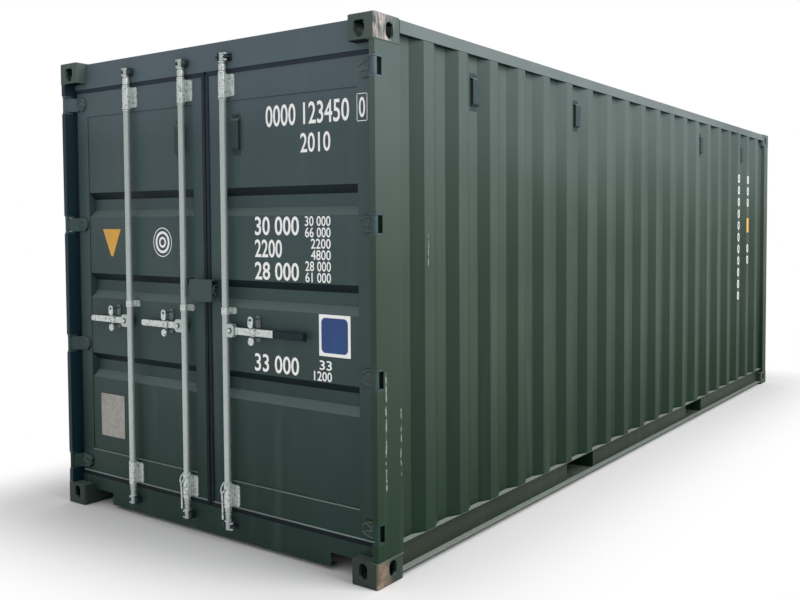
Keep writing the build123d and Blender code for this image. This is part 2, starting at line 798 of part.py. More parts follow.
for side, sign in sides:
    seam_edge = sign * seam_x
    hinge_edge = sign * door_edge_x
    door_centre = (seam_edge + hinge_edge) / 2
    door_width = door_edge_x - seam_x

    # Door frame: rectangular tubes welded into a ring
    with BuildPart() as door_frame:
        with BuildSketch(Plane.XZ.offset(-door_back_y)):
            with Locations((door_centre, (door_low + door_high) / 2)):
                Rectangle(door_width, door_height)
                Rectangle(
                    door_width - 2 * stile_width,
                    door_height - 2 * door_rail_height,
                    mode=Mode.SUBTRACT,
                )
        extrude(amount=door_thickness)
    door_frame.part.label = f"{side}_door_frame"
    export_step(door_frame.part, f"parts/{side}_door_frame.step")

    # Door panel: sheet pressed into level channels
    with BuildPart() as door_panel:
        with BuildSketch(Plane.YZ.offset(door_centre - door_width / 2 + stile_width)):
            with BuildLine():
                back = [(level + sheet, z) for level, z in reversed(channel_edge)]
                Polyline(*channel_edge, *back, close=True)
            make_face()
        extrude(amount=door_width - 2 * stile_width)
    door_panel.part.label = f"{side}_door_panel"
    export_step(door_panel.part, f"parts/{side}_door_panel.step")

    # Door seal: a rubber ring round the frame with a lip over the meeting stile
    with BuildPart() as door_seal:
        with BuildSketch(Plane.XZ.offset(-door_back_y)):
            with Locations((door_centre + sign * (seal_reach - seam_seal) / 2, (door_low + door_high) / 2)):
                Rectangle(door_width + seal_reach + seam_seal, door_height + 2 * seal_reach)
            with Locations((door_centre, (door_low + door_high) / 2)):
                Rectangle(door_width, door_height, mode=Mode.SUBTRACT)
        extrude(amount=door_thickness)
        with BuildSketch(Plane.XZ.offset(-door_y)):
            with Locations((seam_edge + sign * (seal_cover - seam_seal) / 2, (door_low + door_high) / 2)):
                Rectangle(seal_cover + seam_seal, door_height - 2 * seal_reach)
        extrude(amount=seal_thickness)
    door_seal.part.label = f"{side}_door_seal"
    export_step(door_seal.part, f"parts/{side}_door_seal.step")

    # Hinge blades: forged straps from the stile to a knuckle at the post's corner
    with BuildPart() as hinge_blades:
        for hinge_z in hinge_heights:
            with BuildSketch(Plane.XZ.offset(-door_y)) as hinge_plate:
                with Locations((sign * (blade_tip_x + door_edge_x) / 2, hinge_z)):
                    Rectangle(door_edge_x - blade_tip_x, blade_height)
                tip = hinge_plate.vertices().group_by(Axis.X)[0 if sign > 0 else -1]
                chamfer(tip, blade_end_chamfer)
            extrude(amount=blade_plate)
            with BuildSketch(Plane.XY.offset(hinge_z - blade_height / 2)):
                with Locations(
                    Location(
                        (sign * (hinge_x + arm_end_x) / 2, (hinge_y + arm_end_y) / 2, 0),
                        (0, 0, sign * arm_angle),
                    )
                ):
                    Rectangle(arm_length, blade_arm)
                with Locations((sign * hinge_x, hinge_y)):
                    Circle(knuckle_radius)
                    Circle(hinge_pin_radius + pin_clearance, mode=Mode.SUBTRACT)
            extrude(amount=blade_height)
    hinge_blades.part.label = f"{side}_hinge_blades"
    export_step(hinge_blades.part, f"parts/{side}_hinge_blades.step")

    # Bar brackets: sleeves bolted to the door's rails, and a narrow guide at mid height
    with BuildPart() as bar_brackets:
        for _, bar_x in door_gear[side]:
            for centre_z, sleeve_height, plate_height, plate_reach, seat_y in (
                (bracket_low, bracket_height, bracket_plate_height, bracket_plate_reach, door_y),
                (bracket_high, bracket_height, bracket_plate_height, bracket_plate_reach, door_y),
                (guide_z, guide_height, guide_height, guide_plate_reach, panel_y),
            ):
                sleeve_half = bar_radius + bar_clearance + bracket_sleeve
                with BuildSketch(Plane.XY.offset(centre_z - sleeve_height / 2)):
                    with Locations((bar_x, bar_y)):
                        Circle(sleeve_half)
                    with Locations((bar_x, (bar_y + seat_y) / 2)):
                        Rectangle(bracket_web, seat_y - bar_y)
                    with Locations((bar_x, bar_y)):
                        Circle(bar_radius + bar_clearance, mode=Mode.SUBTRACT)
                extrude(amount=sleeve_height)
                with BuildSketch(Plane.XZ.offset(-seat_y)) as bracket_foot:
                    with Locations((bar_x + plate_reach / 2, centre_z)):
                        Rectangle(plate_reach, plate_height)
                    chamfer(bracket_foot.vertices().group_by(Axis.X)[-1], bracket_plate_chamfer)
                extrude(amount=bracket_plate)
    bar_brackets.part.label = f"{side}_bar_brackets"
    export_step(bar_brackets.part, f"parts/{side}_bar_brackets.step")

    # Handle retainers: an upright plate on the door with a shelf under the handle and a pin
    with BuildPart() as handle_retainers:
        for _, bar_x in door_gear[side]:
            retainer_x = bar_x + sign * (right_catch_offset if sign > 0 else catch_offset)
            with BuildSketch(Plane.XZ.offset(-panel_y)):
                with Locations((retainer_x, handle_z + retainer_rise)):
                    SlotOverall(retainer_height, retainer_width, rotation=90)
            extrude(amount=retainer_plate)
            with BuildSketch(Plane.XY.offset(shelf_top - shelf_thickness)):
                with Locations((retainer_x, (panel_y + catch_front_y) / 2)):
                    Rectangle(shelf_width, panel_y - catch_front_y)
            extrude(amount=shelf_thickness)
            with BuildSketch(Plane.XZ.offset(-panel_y)):
                with Locations((retainer_x, handle_z + catch_pin_height)):
                    Circle(catch_pin_radius)
            extrude(amount=panel_y - catch_front_y)
    handle_retainers.part.label = f"{side}_handle_retainers"
    export_step(handle_retainers.part, f"parts/{side}_handle_retainers.step")

    # Lock box: a folded cover over the seam, one half on each door, open below and at the right
    # with an eye for the lock inside the right half
    box_outer = lock_box_left if sign < 0 else lock_box_right
    box_inner = sign * lock_box_split_gap / 2
    box_centre = (box_outer + box_inner) / 2
    box_width = abs(box_outer - box_inner)
    box_depth = door_y - seal_thickness - box_clearance - lock_box_y
    with BuildPart() as lock_box:
        with BuildSketch(Plane.XY.offset(lock_box_low)):
            with Locations((box_centre, lock_box_y + box_depth / 2)):
                Rectangle(box_width, box_depth)
            open_shift = lock_box_plate if sign < 0 else 0
            with Locations((box_centre + open_shift, lock_box_y + box_depth / 2 + lock_box_plate)):
                Rectangle(box_width, box_depth, mode=Mode.SUBTRACT)
        extrude(amount=lock_box_high - lock_box_low)
        with BuildSketch(Plane.XY.offset(lock_box_high - lock_box_plate)):
            with Locations((box_centre, lock_box_y + box_depth / 2)):
                Rectangle(box_width, box_depth)
        extrude(amount=lock_box_plate)
        with BuildSketch(Plane.XZ.offset(-door_y)):
            foot_width = abs(box_outer) - seam_x - seal_cover - box_clearance
            with Locations((box_outer - sign * foot_width / 2, (lock_box_low + lock_box_high) / 2)):
                Rectangle(foot_width, lock_box_high - lock_box_low)
        extrude(amount=seal_thickness + box_clearance)
        if sign > 0:
            with BuildSketch(Plane.YZ.offset(box_outer - lock_eye_inset)):
                with Locations((door_y - lock_eye_reach / 2, lock_eye_z)):
                    Rectangle(lock_eye_reach, lock_eye_height)
                with Locations((door_y - lock_eye_reach + lock_eye_hole * 2, lock_eye_z)):
                    Circle(lock_eye_hole, mode=Mode.SUBTRACT)
            extrude(amount=lock_eye_thickness)
    lock_box.part.label = f"{side}_lock_box"
    export_step(lock_box.part, f"parts/{side}_lock_box.step")

    # Door vent: a small pressed cover high on the panel, open at both sides
    vent_x = door_vent_places[0 if sign < 0 else 1]
    with BuildPart() as door_vent:
        with BuildSketch(Plane.YZ.offset(vent_x - door_vent_width / 2)):
            with BuildLine():
                Polyline(*vent_edge(panel_y, -1, door_vent_depth, door_vent_low, door_vent_high), close=True)
            make_face()
        extrude(amount=door_vent_width)
    door_vent.part.label = f"{side}_door_vent"
    export_step(door_vent.part, f"parts/{side}_door_vent.step")

    for bar_name, bar_x in door_gear[side]:
        reach = right_handle_length if sign > 0 else left_handle_length
        pin_x = bar_x + sign * hub_pin_reach
        retainer_x = bar_x + sign * (right_catch_offset if sign > 0 else catch_offset)

        # Locking bar: turned down at both ends, with a two-pronged cam and the handle's fork
        with BuildPart() as locking_bar:
            with BuildSketch(Plane.XZ.offset(-bar_y)):
                with BuildLine():
                    Polyline(
                        (bar_x, bar_low),
                        (bar_x + neck_radius, bar_low),
                        (bar_x + neck_radius, bar_low + neck_height),
                        (bar_x + bar_radius, bar_low + neck_height),
                        (bar_x + bar_radius, bar_high - neck_height),
                        (bar_x + neck_radius, bar_high - neck_height),
                        (bar_x + neck_radius, bar_high),
                        (bar_x, bar_high),
                        close=True,
                    )
                make_face()
            revolve(axis=Axis((bar_x, bar_y, 0), (0, 0, 1)))
            for prong_low in (
                bar_low,
                bar_low + cam_height - cam_prong_height,
                bar_high - cam_height,
                bar_high - cam_prong_height,
            ):
                with BuildSketch(Plane.XY.offset(prong_low)) as prong:
                    with Locations((bar_x + sign * cam_prong_reach / 2, bar_y)):
                        Rectangle(cam_prong_reach, cam_prong_width)
                    prong_tip = prong.vertices().group_by(Axis.X)[-1 if sign > 0 else 0]
                    chamfer(prong_tip, cam_prong_chamfer)
                extrude(amount=cam_prong_height)
            ear_inner = handle_thickness / 2 + fork_gap
            for ear_y in (bar_y - ear_inner, bar_y + ear_inner + fork_ear):
                with BuildSketch(Plane.XZ.offset(-ear_y)) as fork_side:
                    with Locations((bar_x + sign * hub_reach / 2, handle_z)):
                        Rectangle(hub_reach, 2 * ear_half_height)
                    chamfer(fork_side.vertices().group_by(Axis.X)[-1 if sign > 0 else 0], fork_corner)
                extrude(amount=fork_ear)
            with BuildSketch(Plane.XZ.offset(-(bar_y + ear_inner))):
                with Locations((pin_x, handle_z)):
                    Circle(handle_pin_radius)
            extrude(amount=2 * ear_inner)
        locking_bar.part.label = f"{bar_name}_bar"
        export_step(locking_bar.part, f"parts/{bar_name}_bar.step")

        # Handle: a flat forged lever pinned in the fork, with a boss under the catch
        tip_x = bar_x + sign * reach
        lever_end_x = tip_x - (grip_end_cap if sign > 0 else 0)
        half = handle_height / 2
        end_half = (handle_height if sign > 0 else left_tip_height) / 2
        with BuildPart() as handle:
            with BuildSketch(Plane.XZ.offset(-(bar_y + handle_thickness / 2))) as lever:
                with BuildLine():
                    Polyline(
                        (pin_x, handle_z + half),
                        (lever_end_x, handle_z + end_half),
                        (lever_end_x, handle_z - end_half),
                        (pin_x, handle_z - half),
                        close=True,
                    )
                make_face()
                if sign < 0:
                    chamfer(lever.vertices().group_by(Axis.X)[0], handle_tip_corner)
                with Locations((pin_x, handle_z)):
                    Circle(handle_height / 2)
                    Circle(handle_pin_radius + pin_clearance, mode=Mode.SUBTRACT)
            extrude(amount=handle_thickness)
            with BuildSketch(Plane.XZ.offset(-(bar_y - handle_thickness / 2))):
                with Locations((retainer_x, handle_z)):
                    Circle(boss_radius)
            extrude(amount=boss_height)
        handle.part.label = f"{bar_name}_handle"
        export_step(handle.part, f"parts/{bar_name}_handle.step")

        # Catch: a short drop link that hangs from the retainer's pin over the handle
        with BuildPart() as catch:
            with BuildSketch(Plane.XZ.offset(-(catch_front_y + catch_thickness))):
                with Locations((retainer_x, handle_z + catch_pin_height)):
                    Circle(catch_eye_radius)
                with Locations((retainer_x, (handle_z + catch_pin_height + catch_tip_z) / 2)):
                    Rectangle(catch_width, handle_z + catch_pin_height - catch_tip_z)
                with Locations((retainer_x, handle_z + catch_pin_height)):
                    Circle(catch_pin_radius + pin_clearance, mode=Mode.SUBTRACT)
            extrude(amount=catch_thickness)
        catch.part.label = f"{bar_name}_catch"
        export_step(catch.part, f"parts/{bar_name}_catch.step")

# Grip: the moulded sleeve on the end of the right handle
with BuildPart() as right_handle_grip:
    with BuildSketch(Plane.YZ.offset(right_x + right_handle_length - right_grip_length)):
        with Locations((bar_y, handle_z)):
            RectangleRounded(grip_depth, grip_height, grip_radius)
    extrude(amount=right_grip_length)
    with BuildSketch(Plane.YZ.offset(right_x + right_handle_length - right_grip_length)):
        with Locations((bar_y, handle_z)):
            Rectangle(handle_thickness, handle_height)
    extrude(amount=right_grip_length - grip_end_cap, mode=Mode.SUBTRACT)
right_handle_grip.part.label = "right_handle_grip"
export_step(right_handle_grip.part, "parts/right_handle_grip.step")
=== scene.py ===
from math import radians

import bpy
from mathutils import Matrix, Vector


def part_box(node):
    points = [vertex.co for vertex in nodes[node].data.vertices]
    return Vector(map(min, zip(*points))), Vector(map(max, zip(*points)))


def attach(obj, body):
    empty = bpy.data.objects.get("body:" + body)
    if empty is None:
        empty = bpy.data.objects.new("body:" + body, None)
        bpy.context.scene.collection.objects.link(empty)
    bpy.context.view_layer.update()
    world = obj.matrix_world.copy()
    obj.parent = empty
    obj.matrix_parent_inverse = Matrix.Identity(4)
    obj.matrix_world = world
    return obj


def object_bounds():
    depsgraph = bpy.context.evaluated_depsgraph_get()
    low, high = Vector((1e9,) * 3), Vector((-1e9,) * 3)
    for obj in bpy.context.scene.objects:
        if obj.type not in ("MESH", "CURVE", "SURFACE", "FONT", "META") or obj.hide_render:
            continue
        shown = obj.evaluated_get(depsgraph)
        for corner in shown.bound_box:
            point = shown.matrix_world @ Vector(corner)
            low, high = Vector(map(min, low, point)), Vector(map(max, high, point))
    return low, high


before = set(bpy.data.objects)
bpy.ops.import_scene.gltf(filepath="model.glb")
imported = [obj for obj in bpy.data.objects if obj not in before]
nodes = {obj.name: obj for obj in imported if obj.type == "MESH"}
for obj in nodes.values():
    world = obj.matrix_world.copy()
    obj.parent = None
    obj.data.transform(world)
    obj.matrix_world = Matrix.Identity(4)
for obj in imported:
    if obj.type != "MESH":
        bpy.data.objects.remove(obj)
cad_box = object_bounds()

# Camera: the photograph was taken from standing height off the right corner of the door end.
# Its lens and place were worked out from the corner castings, in an image of 800 by 600.
image_width = 800
image_height = 600
focal_pixels = 849.24
centre_pixel = (535.9, 260.1)
film_width = 36
eye = (3.7788, -5.8748, 1.6414)
eye_turn = radians(31.272)
eye_tilt = radians(90 - 2.256)
camera_data = bpy.data.cameras.new("camera")
camera_data.sensor_width = film_width
camera_data.lens = focal_pixels * film_width / image_width
camera_data.shift_x = (image_width / 2 - centre_pixel[0]) / image_width
camera_data.shift_y = (centre_pixel[1] - image_height / 2) / image_width
camera_data.clip_end = 200
camera = bpy.data.objects.new("camera", camera_data)
camera.location = eye
camera.rotation_euler = (eye_tilt, 0, eye_turn)
bpy.context.scene.collection.objects.link(camera)
bpy.context.scene.camera = camera

# Painted steelwork: posts, rails, walls and doors are pressed and rolled steel, welded up and
# sprayed in dark green. The green is painted paler and bluer towards the top, and bluer on the
# doors than on the side walls, as painted sky light. Faces that turn down carry painted shade,
# faces that slope up carry painted light, and up-facing ledges take dust and painted light.
# Folded edges are rounded by the press.
# The doors' greens are bluer than the side walls', as painted sky light on the door end.
door_low = (0.012, 0.037, 0.029, 1)
door_middle = (0.050, 0.083, 0.083, 1)
door_high = (0.062, 0.095, 0.107, 1)
side_low = (0.008, 0.027, 0.012, 1)
side_middle = (0.040, 0.063, 0.046, 1)
side_high = (0.082, 0.112, 0.105, 1)
green_shade = (0.008, 0.020, 0.016, 1)
underside_shade = (0.001, 0.009, 0.013, 1)
# Painted light for faces that slope upwards.
slope_painted_light = (0.15, 0.20, 0.20, 1)
# Dust colour, also used as painted light on faces that turn up.
dust_and_top_light = (0.34, 0.40, 0.36, 1)
chalk_colour = (0.14, 0.17, 0.15, 1)
rust_colour = (0.11, 0.045, 0.020, 1)
lower_fade = (0.1, 1.4)
upper_fade = (1.2, 2.6)
patch_share = 0.22
streak_share = 0.14
run_share = 0.07
underside_share = 0.95
slope_painted_light_share = 0.6
grain_share = 0.2
rust_share = 0.7


class Signal:
    """A socket of a finish, on which the usual operators add Math nodes."""

    def __init__(self, finish, socket):
        self.finish = finish
        self.socket = socket

    def reckon(self, operation, first, second):
        return self.finish.node("ShaderNodeMath", {"operation": operation}, {0: first, 1: second})

    def __add__(self, other):
        return self.reckon("ADD", self, other)

    def __radd__(self, other):
        return self.reckon("ADD", other, self)

    def __sub__(self, other):
        return self.reckon("SUBTRACT", self, other)

    def __rsub__(self, other):
        return self.reckon("SUBTRACT", other, self)

    def __mul__(self, other):
        return self.reckon("MULTIPLY", self, other)

    def __rmul__(self, other):
        return self.reckon("MULTIPLY", other, self)

    def __abs__(self):
        return self.reckon("ABSOLUTE", self, 0.0)


class Finish:
    """A material for one of the container's surfaces, built up node by node."""

    def __init__(self, name, **shine):
        self.material = bpy.data.materials.new(name)
        self.material.use_nodes = True
        self.tree = self.material.node_tree
        self.shader = self.tree.nodes["Principled BSDF"]
        for socket, value in shine.items():
            self.shader.inputs[socket.replace("_", " ")].default_value = value
        self.place = self.node("ShaderNodeTexCoord", output="Object")

    def node(self, kind, settings=None, sockets=None, output=0):
        made = self.tree.nodes.new(kind)
        for setting, value in (settings or {}).items():
            setattr(made, setting, value)
        for socket, value in (sockets or {}).items():
            if isinstance(value, Signal):
                self.tree.links.new(value.socket, made.inputs[socket])
            else:
                made.inputs[socket].default_value = value
        return Signal(self, made.outputs[output])

    def moved(self, stretch):
        return self.node("ShaderNodeMapping", {}, {"Vector": self.place, "Scale": stretch})

    def clouds(self, scale, detail=3, stretch=(1, 1, 1)):
        sockets = {"Vector": self.moved(stretch), "Scale": scale, "Detail": detail}
        return self.node("ShaderNodeTexNoise", {}, sockets)

    def rise(self, value, low, high):
        settings = {"interpolation_type": "SMOOTHSTEP"}
        return self.node("ShaderNodeMapRange", settings, {"Value": value, "From Min": low, "From Max": high})

    def within(self, letter, low, high, soft):
        value = self.axis(letter)
        return self.rise(value, low - soft, low) * (1 - self.rise(value, high, high + soft))

    def blend(self, share, under, over):
        return self.node("ShaderNodeMix", {"data_type": "RGBA"}, {0: share, 6: under, 7: over}, 2)

    def axis(self, letter):
        return self.node("ShaderNodeSeparateXYZ", {}, {0: self.place}, letter)

    def facing(self, letter):
        normal = self.node("ShaderNodeNewGeometry", output="Normal")
        return self.node("ShaderNodeSeparateXYZ", {}, {0: normal}, letter)

    def bump(self, height, strength, distance, bend=0.0):
        sockets = {"Height": height, "Strength": strength, "Distance": distance}
        if bend:
            sockets["Normal"] = self.node("ShaderNodeBevel", {"samples": 6}, {"Radius": bend})
        self.feed("Normal", self.node("ShaderNodeBump", {}, sockets))

    def feed(self, socket, value):
        self.tree.links.new(value.socket, self.shader.inputs[socket])


def dress(finish, *names):
    for name in names:
        nodes[name].data.materials.clear()
        nodes[name].data.materials.append(finish.material)


def green_paint(name, low, middle, high, rust=0.0, wear_and_painted_light=None, ledge_dust_and_light=0.12):
    """Container green, paler upwards as painted sky light, with painted shade on faces that turn down and
    painted light on those that turn up; the optional wear step adds places worn bare, or more painted light
    and shade.
    """
    finish = Finish(name, Specular_IOR_Level=0.16)
    height = finish.axis("Z")
    # painted sky light: the green turns paler and bluer towards the top
    colour = finish.blend(finish.rise(height, *lower_fade), low, middle)
    colour = finish.blend(finish.rise(height, *upper_fade), colour, high)
    patches = finish.rise(finish.clouds(1.3, 4), 0.35, 0.7)
    colour = finish.blend(patches * patch_share, colour, green_shade)
    streaks = finish.rise(finish.clouds(9, 4, (1, 1, 0.06)), 0.52, 0.78)
    colour = finish.blend(streaks * streak_share, colour, chalk_colour)
    runs = finish.rise(finish.clouds(55, 2, (1, 1, 0.012)), 0.66, 0.74)
    colour = finish.blend(runs * run_share, colour, chalk_colour)
    # painted shade: faces that turn down are darkened
    up = finish.facing("Z")
    colour = finish.blend(finish.rise(0 - up, 0.2, 0.55) * underside_share, colour, underside_shade)
    ledge = finish.rise(up, 0.86, 0.98)
    # painted light: faces that slope upwards are lightened
    slope = finish.rise(up, 0.3, 0.6) * (1 - ledge)
    colour = finish.blend(slope * slope_painted_light_share, colour, slope_painted_light)
    grains = finish.rise(finish.clouds(60, 3), 0.4, 0.7)
    # Up-facing ledges take the dust colour: dust, and painted light from above.
    colour = finish.blend(ledge * (ledge_dust_and_light + grains * grain_share), colour, dust_and_top_light)
    specks = finish.rise(finish.clouds(38, 5), 0.71 - rust, 0.80 - rust)
    colour = finish.blend(specks * rust_share, colour, rust_colour)
    rough = 0.40 + patches * 0.08 + grains * 0.06 + specks * 0.3
    if wear_and_painted_light:
        colour, rough = wear_and_painted_light(finish, colour, rough)
    finish.feed("Base Color", colour)
    finish.feed("Roughness", rough)
    finish.bump(finish.clouds(140, 2) * 0.4 + finish.clouds(7, 2), 0.22, 0.002, bend=0.004)
    return finish


# Painted shade for the ridges' slopes that face the doors and for the left post's front.
slope_shade = (0.003, 0.016, 0.009, 1)
near_slope_share = 0.6
far_slope_loss = 0.35
far_top_shade_loss = 0.9
post_shade = (0.002, 0.020, 0.038, 1)
post_shade_share = 0.8
scratch_colour = (0.30, 0.32, 0.25, 1)
scratch_share = 0.8
scratch_end = 0.02


def scratch(finish, wobble, place, foot, top, width):
    """An upright line at its place along the side wall, wavering by wobble."""
    line = 1 - finish.rise(abs(finish.axis("Y") - place + wobble), width * 0.5, width)
    return line * finish.within("Z", foot, top, scratch_end)


def shade_and_scratches(finish, colour, rough):
    """Shade on the ridges' near slopes and the left post, and scratches by the right post."""
    # painted shade on the slopes that face the doors, fading further from the door end and high up
    toward = 0 - finish.facing("Y")
    slopes = finish.rise(toward, 0.25, 0.42) * (1 - finish.rise(toward, 0.55, 0.75))
    share = near_slope_share - finish.rise(finish.axis("Y"), -2.5, 3.0) * far_slope_loss
    far_top = finish.rise(finish.axis("Y"), -2.7, -1.0) * finish.rise(finish.axis("Z"), 1.4, 2.4)
    slopes = slopes * share * (1 - far_top * far_top_shade_loss)
    colour = finish.blend(slopes, colour, slope_shade)
    # painted shade on the front of the left post
    left = finish.rise(0 - finish.axis("X"), 1.10, 1.16) * finish.rise(0 - finish.axis("Y"), 2.90, 2.95)
    left = left * finish.rise(finish.facing("X"), -0.7, -0.4)
    colour = finish.blend(left * post_shade_share, colour, post_shade)
    wobble = (finish.clouds(6, 4, (0, 0, 1)) - 0.5) * 0.03
    broken = finish.rise(finish.clouds(28, 3), 0.42, 0.55)
    outside = finish.rise(finish.axis("X"), 1.20, 1.21)
    for line in (
        scratch(finish, wobble, place=-2.962, foot=0.44, top=0.97, width=0.0055),
        scratch(finish, wobble, place=-2.859, foot=0.50, top=0.79, width=0.0035),
        scratch(finish, wobble, place=-2.648, foot=1.45, top=1.60, width=0.0035),
    ):
        marked = line * broken * outside
        colour = finish.blend(marked * scratch_share, colour, scratch_colour)
        rough = rough + marked * 0.2
    return colour, rough


side_paint = green_paint("side_paint", side_low, side_middle, side_high, wear_and_painted_light=shade_and_scratches)
dress(
    side_paint,
    "door_posts",
    "end_posts",
    "end_top_rail",
    "end_bottom_rail",
    "left_side_wall",
    "right_side_wall",
    "end_wall",
    "roof",
    "cross_members",
    "fork_pockets",
)
rail_low = (0.09, 0.12, 0.11, 1)
rail_high = (0.135, 0.163, 0.165, 1)
foot_colour = (0.022, 0.032, 0.022, 1)
rail_paint = green_paint("rail_paint", rail_low, rail_low, rail_high)
dress(rail_paint, "top_side_rails")
# The bottom rails' ledges take much of the dust colour: dust, and painted light on the lower flange.
foot_paint = green_paint("foot_paint", foot_colour, foot_colour, side_middle, ledge_dust_and_light=0.65)
dress(foot_paint, "bottom_side_rails")
# The header's top colour is paler and bluer again, as painted sky light.
header_high = (0.080, 0.124, 0.146, 1)
painted_top_light = (0.114, 0.153, 0.179, 1)
painted_top_light_share = 0.5


def sky_lit_top(finish, colour, rough):
    """Painted sky light: the header and the tops of the doors turn paler and bluer."""
    top_lit = finish.rise(finish.axis("Z"), 2.05, 2.40)
    return finish.blend(top_lit * painted_top_light_share, colour, painted_top_light), rough


header_paint = green_paint("header_paint", door_low, door_middle, header_high, wear_and_painted_light=sky_lit_top)
dress(header_paint, "door_header")
door_paint = green_paint("door_paint", door_low, door_middle, door_high, wear_and_painted_light=sky_lit_top)
dress(door_paint, "door_sill", "hinge_lugs")
for door in ("left", "right"):
    dress(door_paint, f"{door}_door_frame", f"{door}_door_panel")
    dress(door_paint, f"{door}_hinge_blades", f"{door}_lock_box")

# Corner castings: cast steel blocks with a slot and two eyes, welded to the posts and rails.
# They take the knocks: the front right ones are scraped to primer above and rusty below.
primer_colour = (0.42, 0.36, 0.35, 1)
bare_rust = (0.27, 0.19, 0.135, 1)
casting_side = cad_box[1].x
casting_front = cad_box[0].y
casting_length = 0.178
top_casting_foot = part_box("top_corner_castings")[0].z
bottom_casting_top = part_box("bottom_corner_castings")[1].z


def scraped(finish, colour, rough):
    """Bare places on the outer sides of the two front right castings."""
    outer = finish.rise(finish.axis("X"), casting_side - 0.012, casting_side - 0.004)
    front = 1 - finish.rise(finish.axis("Y"), casting_front + 0.05, casting_front + casting_length)
    corner = 1 - finish.rise(finish.axis("Y"), casting_front + 0.04, casting_front + 0.12)
    torn = finish.rise(finish.clouds(14, 5), 0.40, 0.62)
    lines = finish.rise(finish.clouds(30, 4, (1, 3, 0.5)), 0.50, 0.66)
    above = finish.rise(finish.axis("Z"), top_casting_foot - 0.01, top_casting_foot)
    below = 1 - finish.rise(finish.axis("Z"), bottom_casting_top, bottom_casting_top + 0.01)
    scrape = outer * front * above * (torn * 0.5 + lines * 0.6)
    colour = finish.blend(scrape, colour, primer_colour)
    stain = outer * below * corner * (0.35 + torn * 0.55)
    colour = finish.blend(stain, colour, bare_rust)
    return colour, rough + scrape * 0.15 + stain * 0.3


casting_low = (0.026, 0.042, 0.034, 1)
casting_paint = green_paint("casting_paint", casting_low, door_middle, side_high, 0.05, scraped)
dress(casting_paint, "bottom_corner_castings", "top_corner_castings")

# Welds: beads of weld metal run where the castings meet the posts, rails, header and sill. They
# are left as they were laid, and painted over.
bead_radius = 0.0035
bead_turn = 0.01
post_face = 1.216
post_front = 3.024
post_rear = 2.848
post_inner = 1.170
bead_chalk = (0.10, 0.125, 0.115, 1)


def lone(add, name, **settings):
    """Adds one primitive, with nothing else selected, at its size and place."""
    bpy.ops.object.select_all(action="DESELECT")
    add(**settings)
    piece = bpy.context.object
    piece.name = name
    bpy.ops.object.transform_apply(location=True, rotation=True, scale=True)
    return piece


def pick(*pieces):
    """Selects these pieces alone, with the first of them as the active one."""
    bpy.ops.object.select_all(action="DESELECT")
    for piece in pieces:
        piece.select_set(True)
    bpy.context.view_layer.objects.active = pieces[0]


def block(name, low, high, edge=0.0):
    """A plate or block between two corners, with its edges rounded off when an edge width is given."""
    low = Vector(low)
    high = Vector(high)
    size = [max(b - a, 0.0002) for a, b in zip(low, high)]
    piece = lone(bpy.ops.mesh.primitive_cube_add, name, size=1, location=(low + high) / 2, scale=size)
    if edge:
        soften(piece, edge)
    return piece


def soften(piece, width, steps=2):
    """Rounds a piece's edges, as a forging's or a pressing's are."""
    bpy.context.view_layer.objects.active = piece
    edges = piece.modifiers.new("soft_edges", "BEVEL")
    edges.width = width
    edges.segments = steps
    edges.limit_method = "ANGLE"
    bpy.ops.object.modifier_apply(modifier=edges.name)


def round_corners(piece, along, radius, steps=6):
    """Rounds only the edges that run along one axis, as on a plate cut to shape."""
    pick(piece)
    bpy.ops.object.mode_set(mode="EDIT")
    bpy.ops.mesh.select_mode(type="EDGE")
    bpy.ops.mesh.select_all(action="DESELECT")
    bpy.ops.object.mode_set(mode="OBJECT")
    for edge in piece.data.edges:
        start, end = (piece.data.vertices[corner].co for corner in edge.vertices)
        run = end - start
        edge.select = abs(run["XYZ".index(along)]) > 0.99 * run.length
    bpy.ops.object.mode_set(mode="EDIT")
    bpy.ops.mesh.bevel(offset=radius, segments=steps)
    bpy.ops.object.mode_set(mode="OBJECT")


def repeated(piece, shifts, name):
    """Copies a finished piece by each shift and joins the copies into one."""
    bpy.ops.object.select_all(action="DESELECT")
    for shift in shifts:
        twin = piece.copy()
        twin.data = piece.data.copy()
        twin.data.transform(Matrix.Translation(shift))
        bpy.context.scene.collection.objects.link(twin)
        twin.select_set(True)
    bpy.context.view_layer.objects.active = twin
    bpy.data.objects.remove(piece)
    bpy.ops.object.join()
    bpy.context.object.name = name
    return bpy.context.object


def bent_rod(name, points, radius, closed=False):
    """A round rod bent along the points."""
    line = bpy.data.curves.new(name, "CURVE")
    line.dimensions = "3D"
    line.bevel_depth = radius
    line.bevel_resolution = 3
    line.resolution_u = 8
    line.use_fill_caps = not closed
    path = line.splines.new("NURBS")
    path.points.add(len(points) - 1)
    for point, place in zip(path.points, points):
        point.co = (*place, 1)
    path.order_u = 3
    path.use_endpoint_u = not closed
    path.use_cyclic_u = closed
    rod = bpy.data.objects.new(name, line)
    bpy.context.scene.collection.objects.link(rod)
    pick(rod)
    bpy.ops.object.convert(target="MESH")
    return bpy.context.object


def together(name, *parts):
    """Joins parts into one piece."""
    pick(*parts)
    bpy.ops.object.join()
    bpy.context.object.name = name
    return bpy.context.object


def fit(piece, finish, body):
    """Finishes a piece, smooths its round faces and lets it move with its body."""
    pick(piece)
    bpy.ops.object.shade_smooth_by_angle(angle=radians(35))
    weights = piece.modifiers.new("face_weights", "WEIGHTED_NORMAL")
    weights.keep_sharp = True
    bpy.ops.object.modifier_apply(modifier=weights.name)
    piece.data.materials.clear()
    piece.data.materials.append(finish.material)
    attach(piece, body)


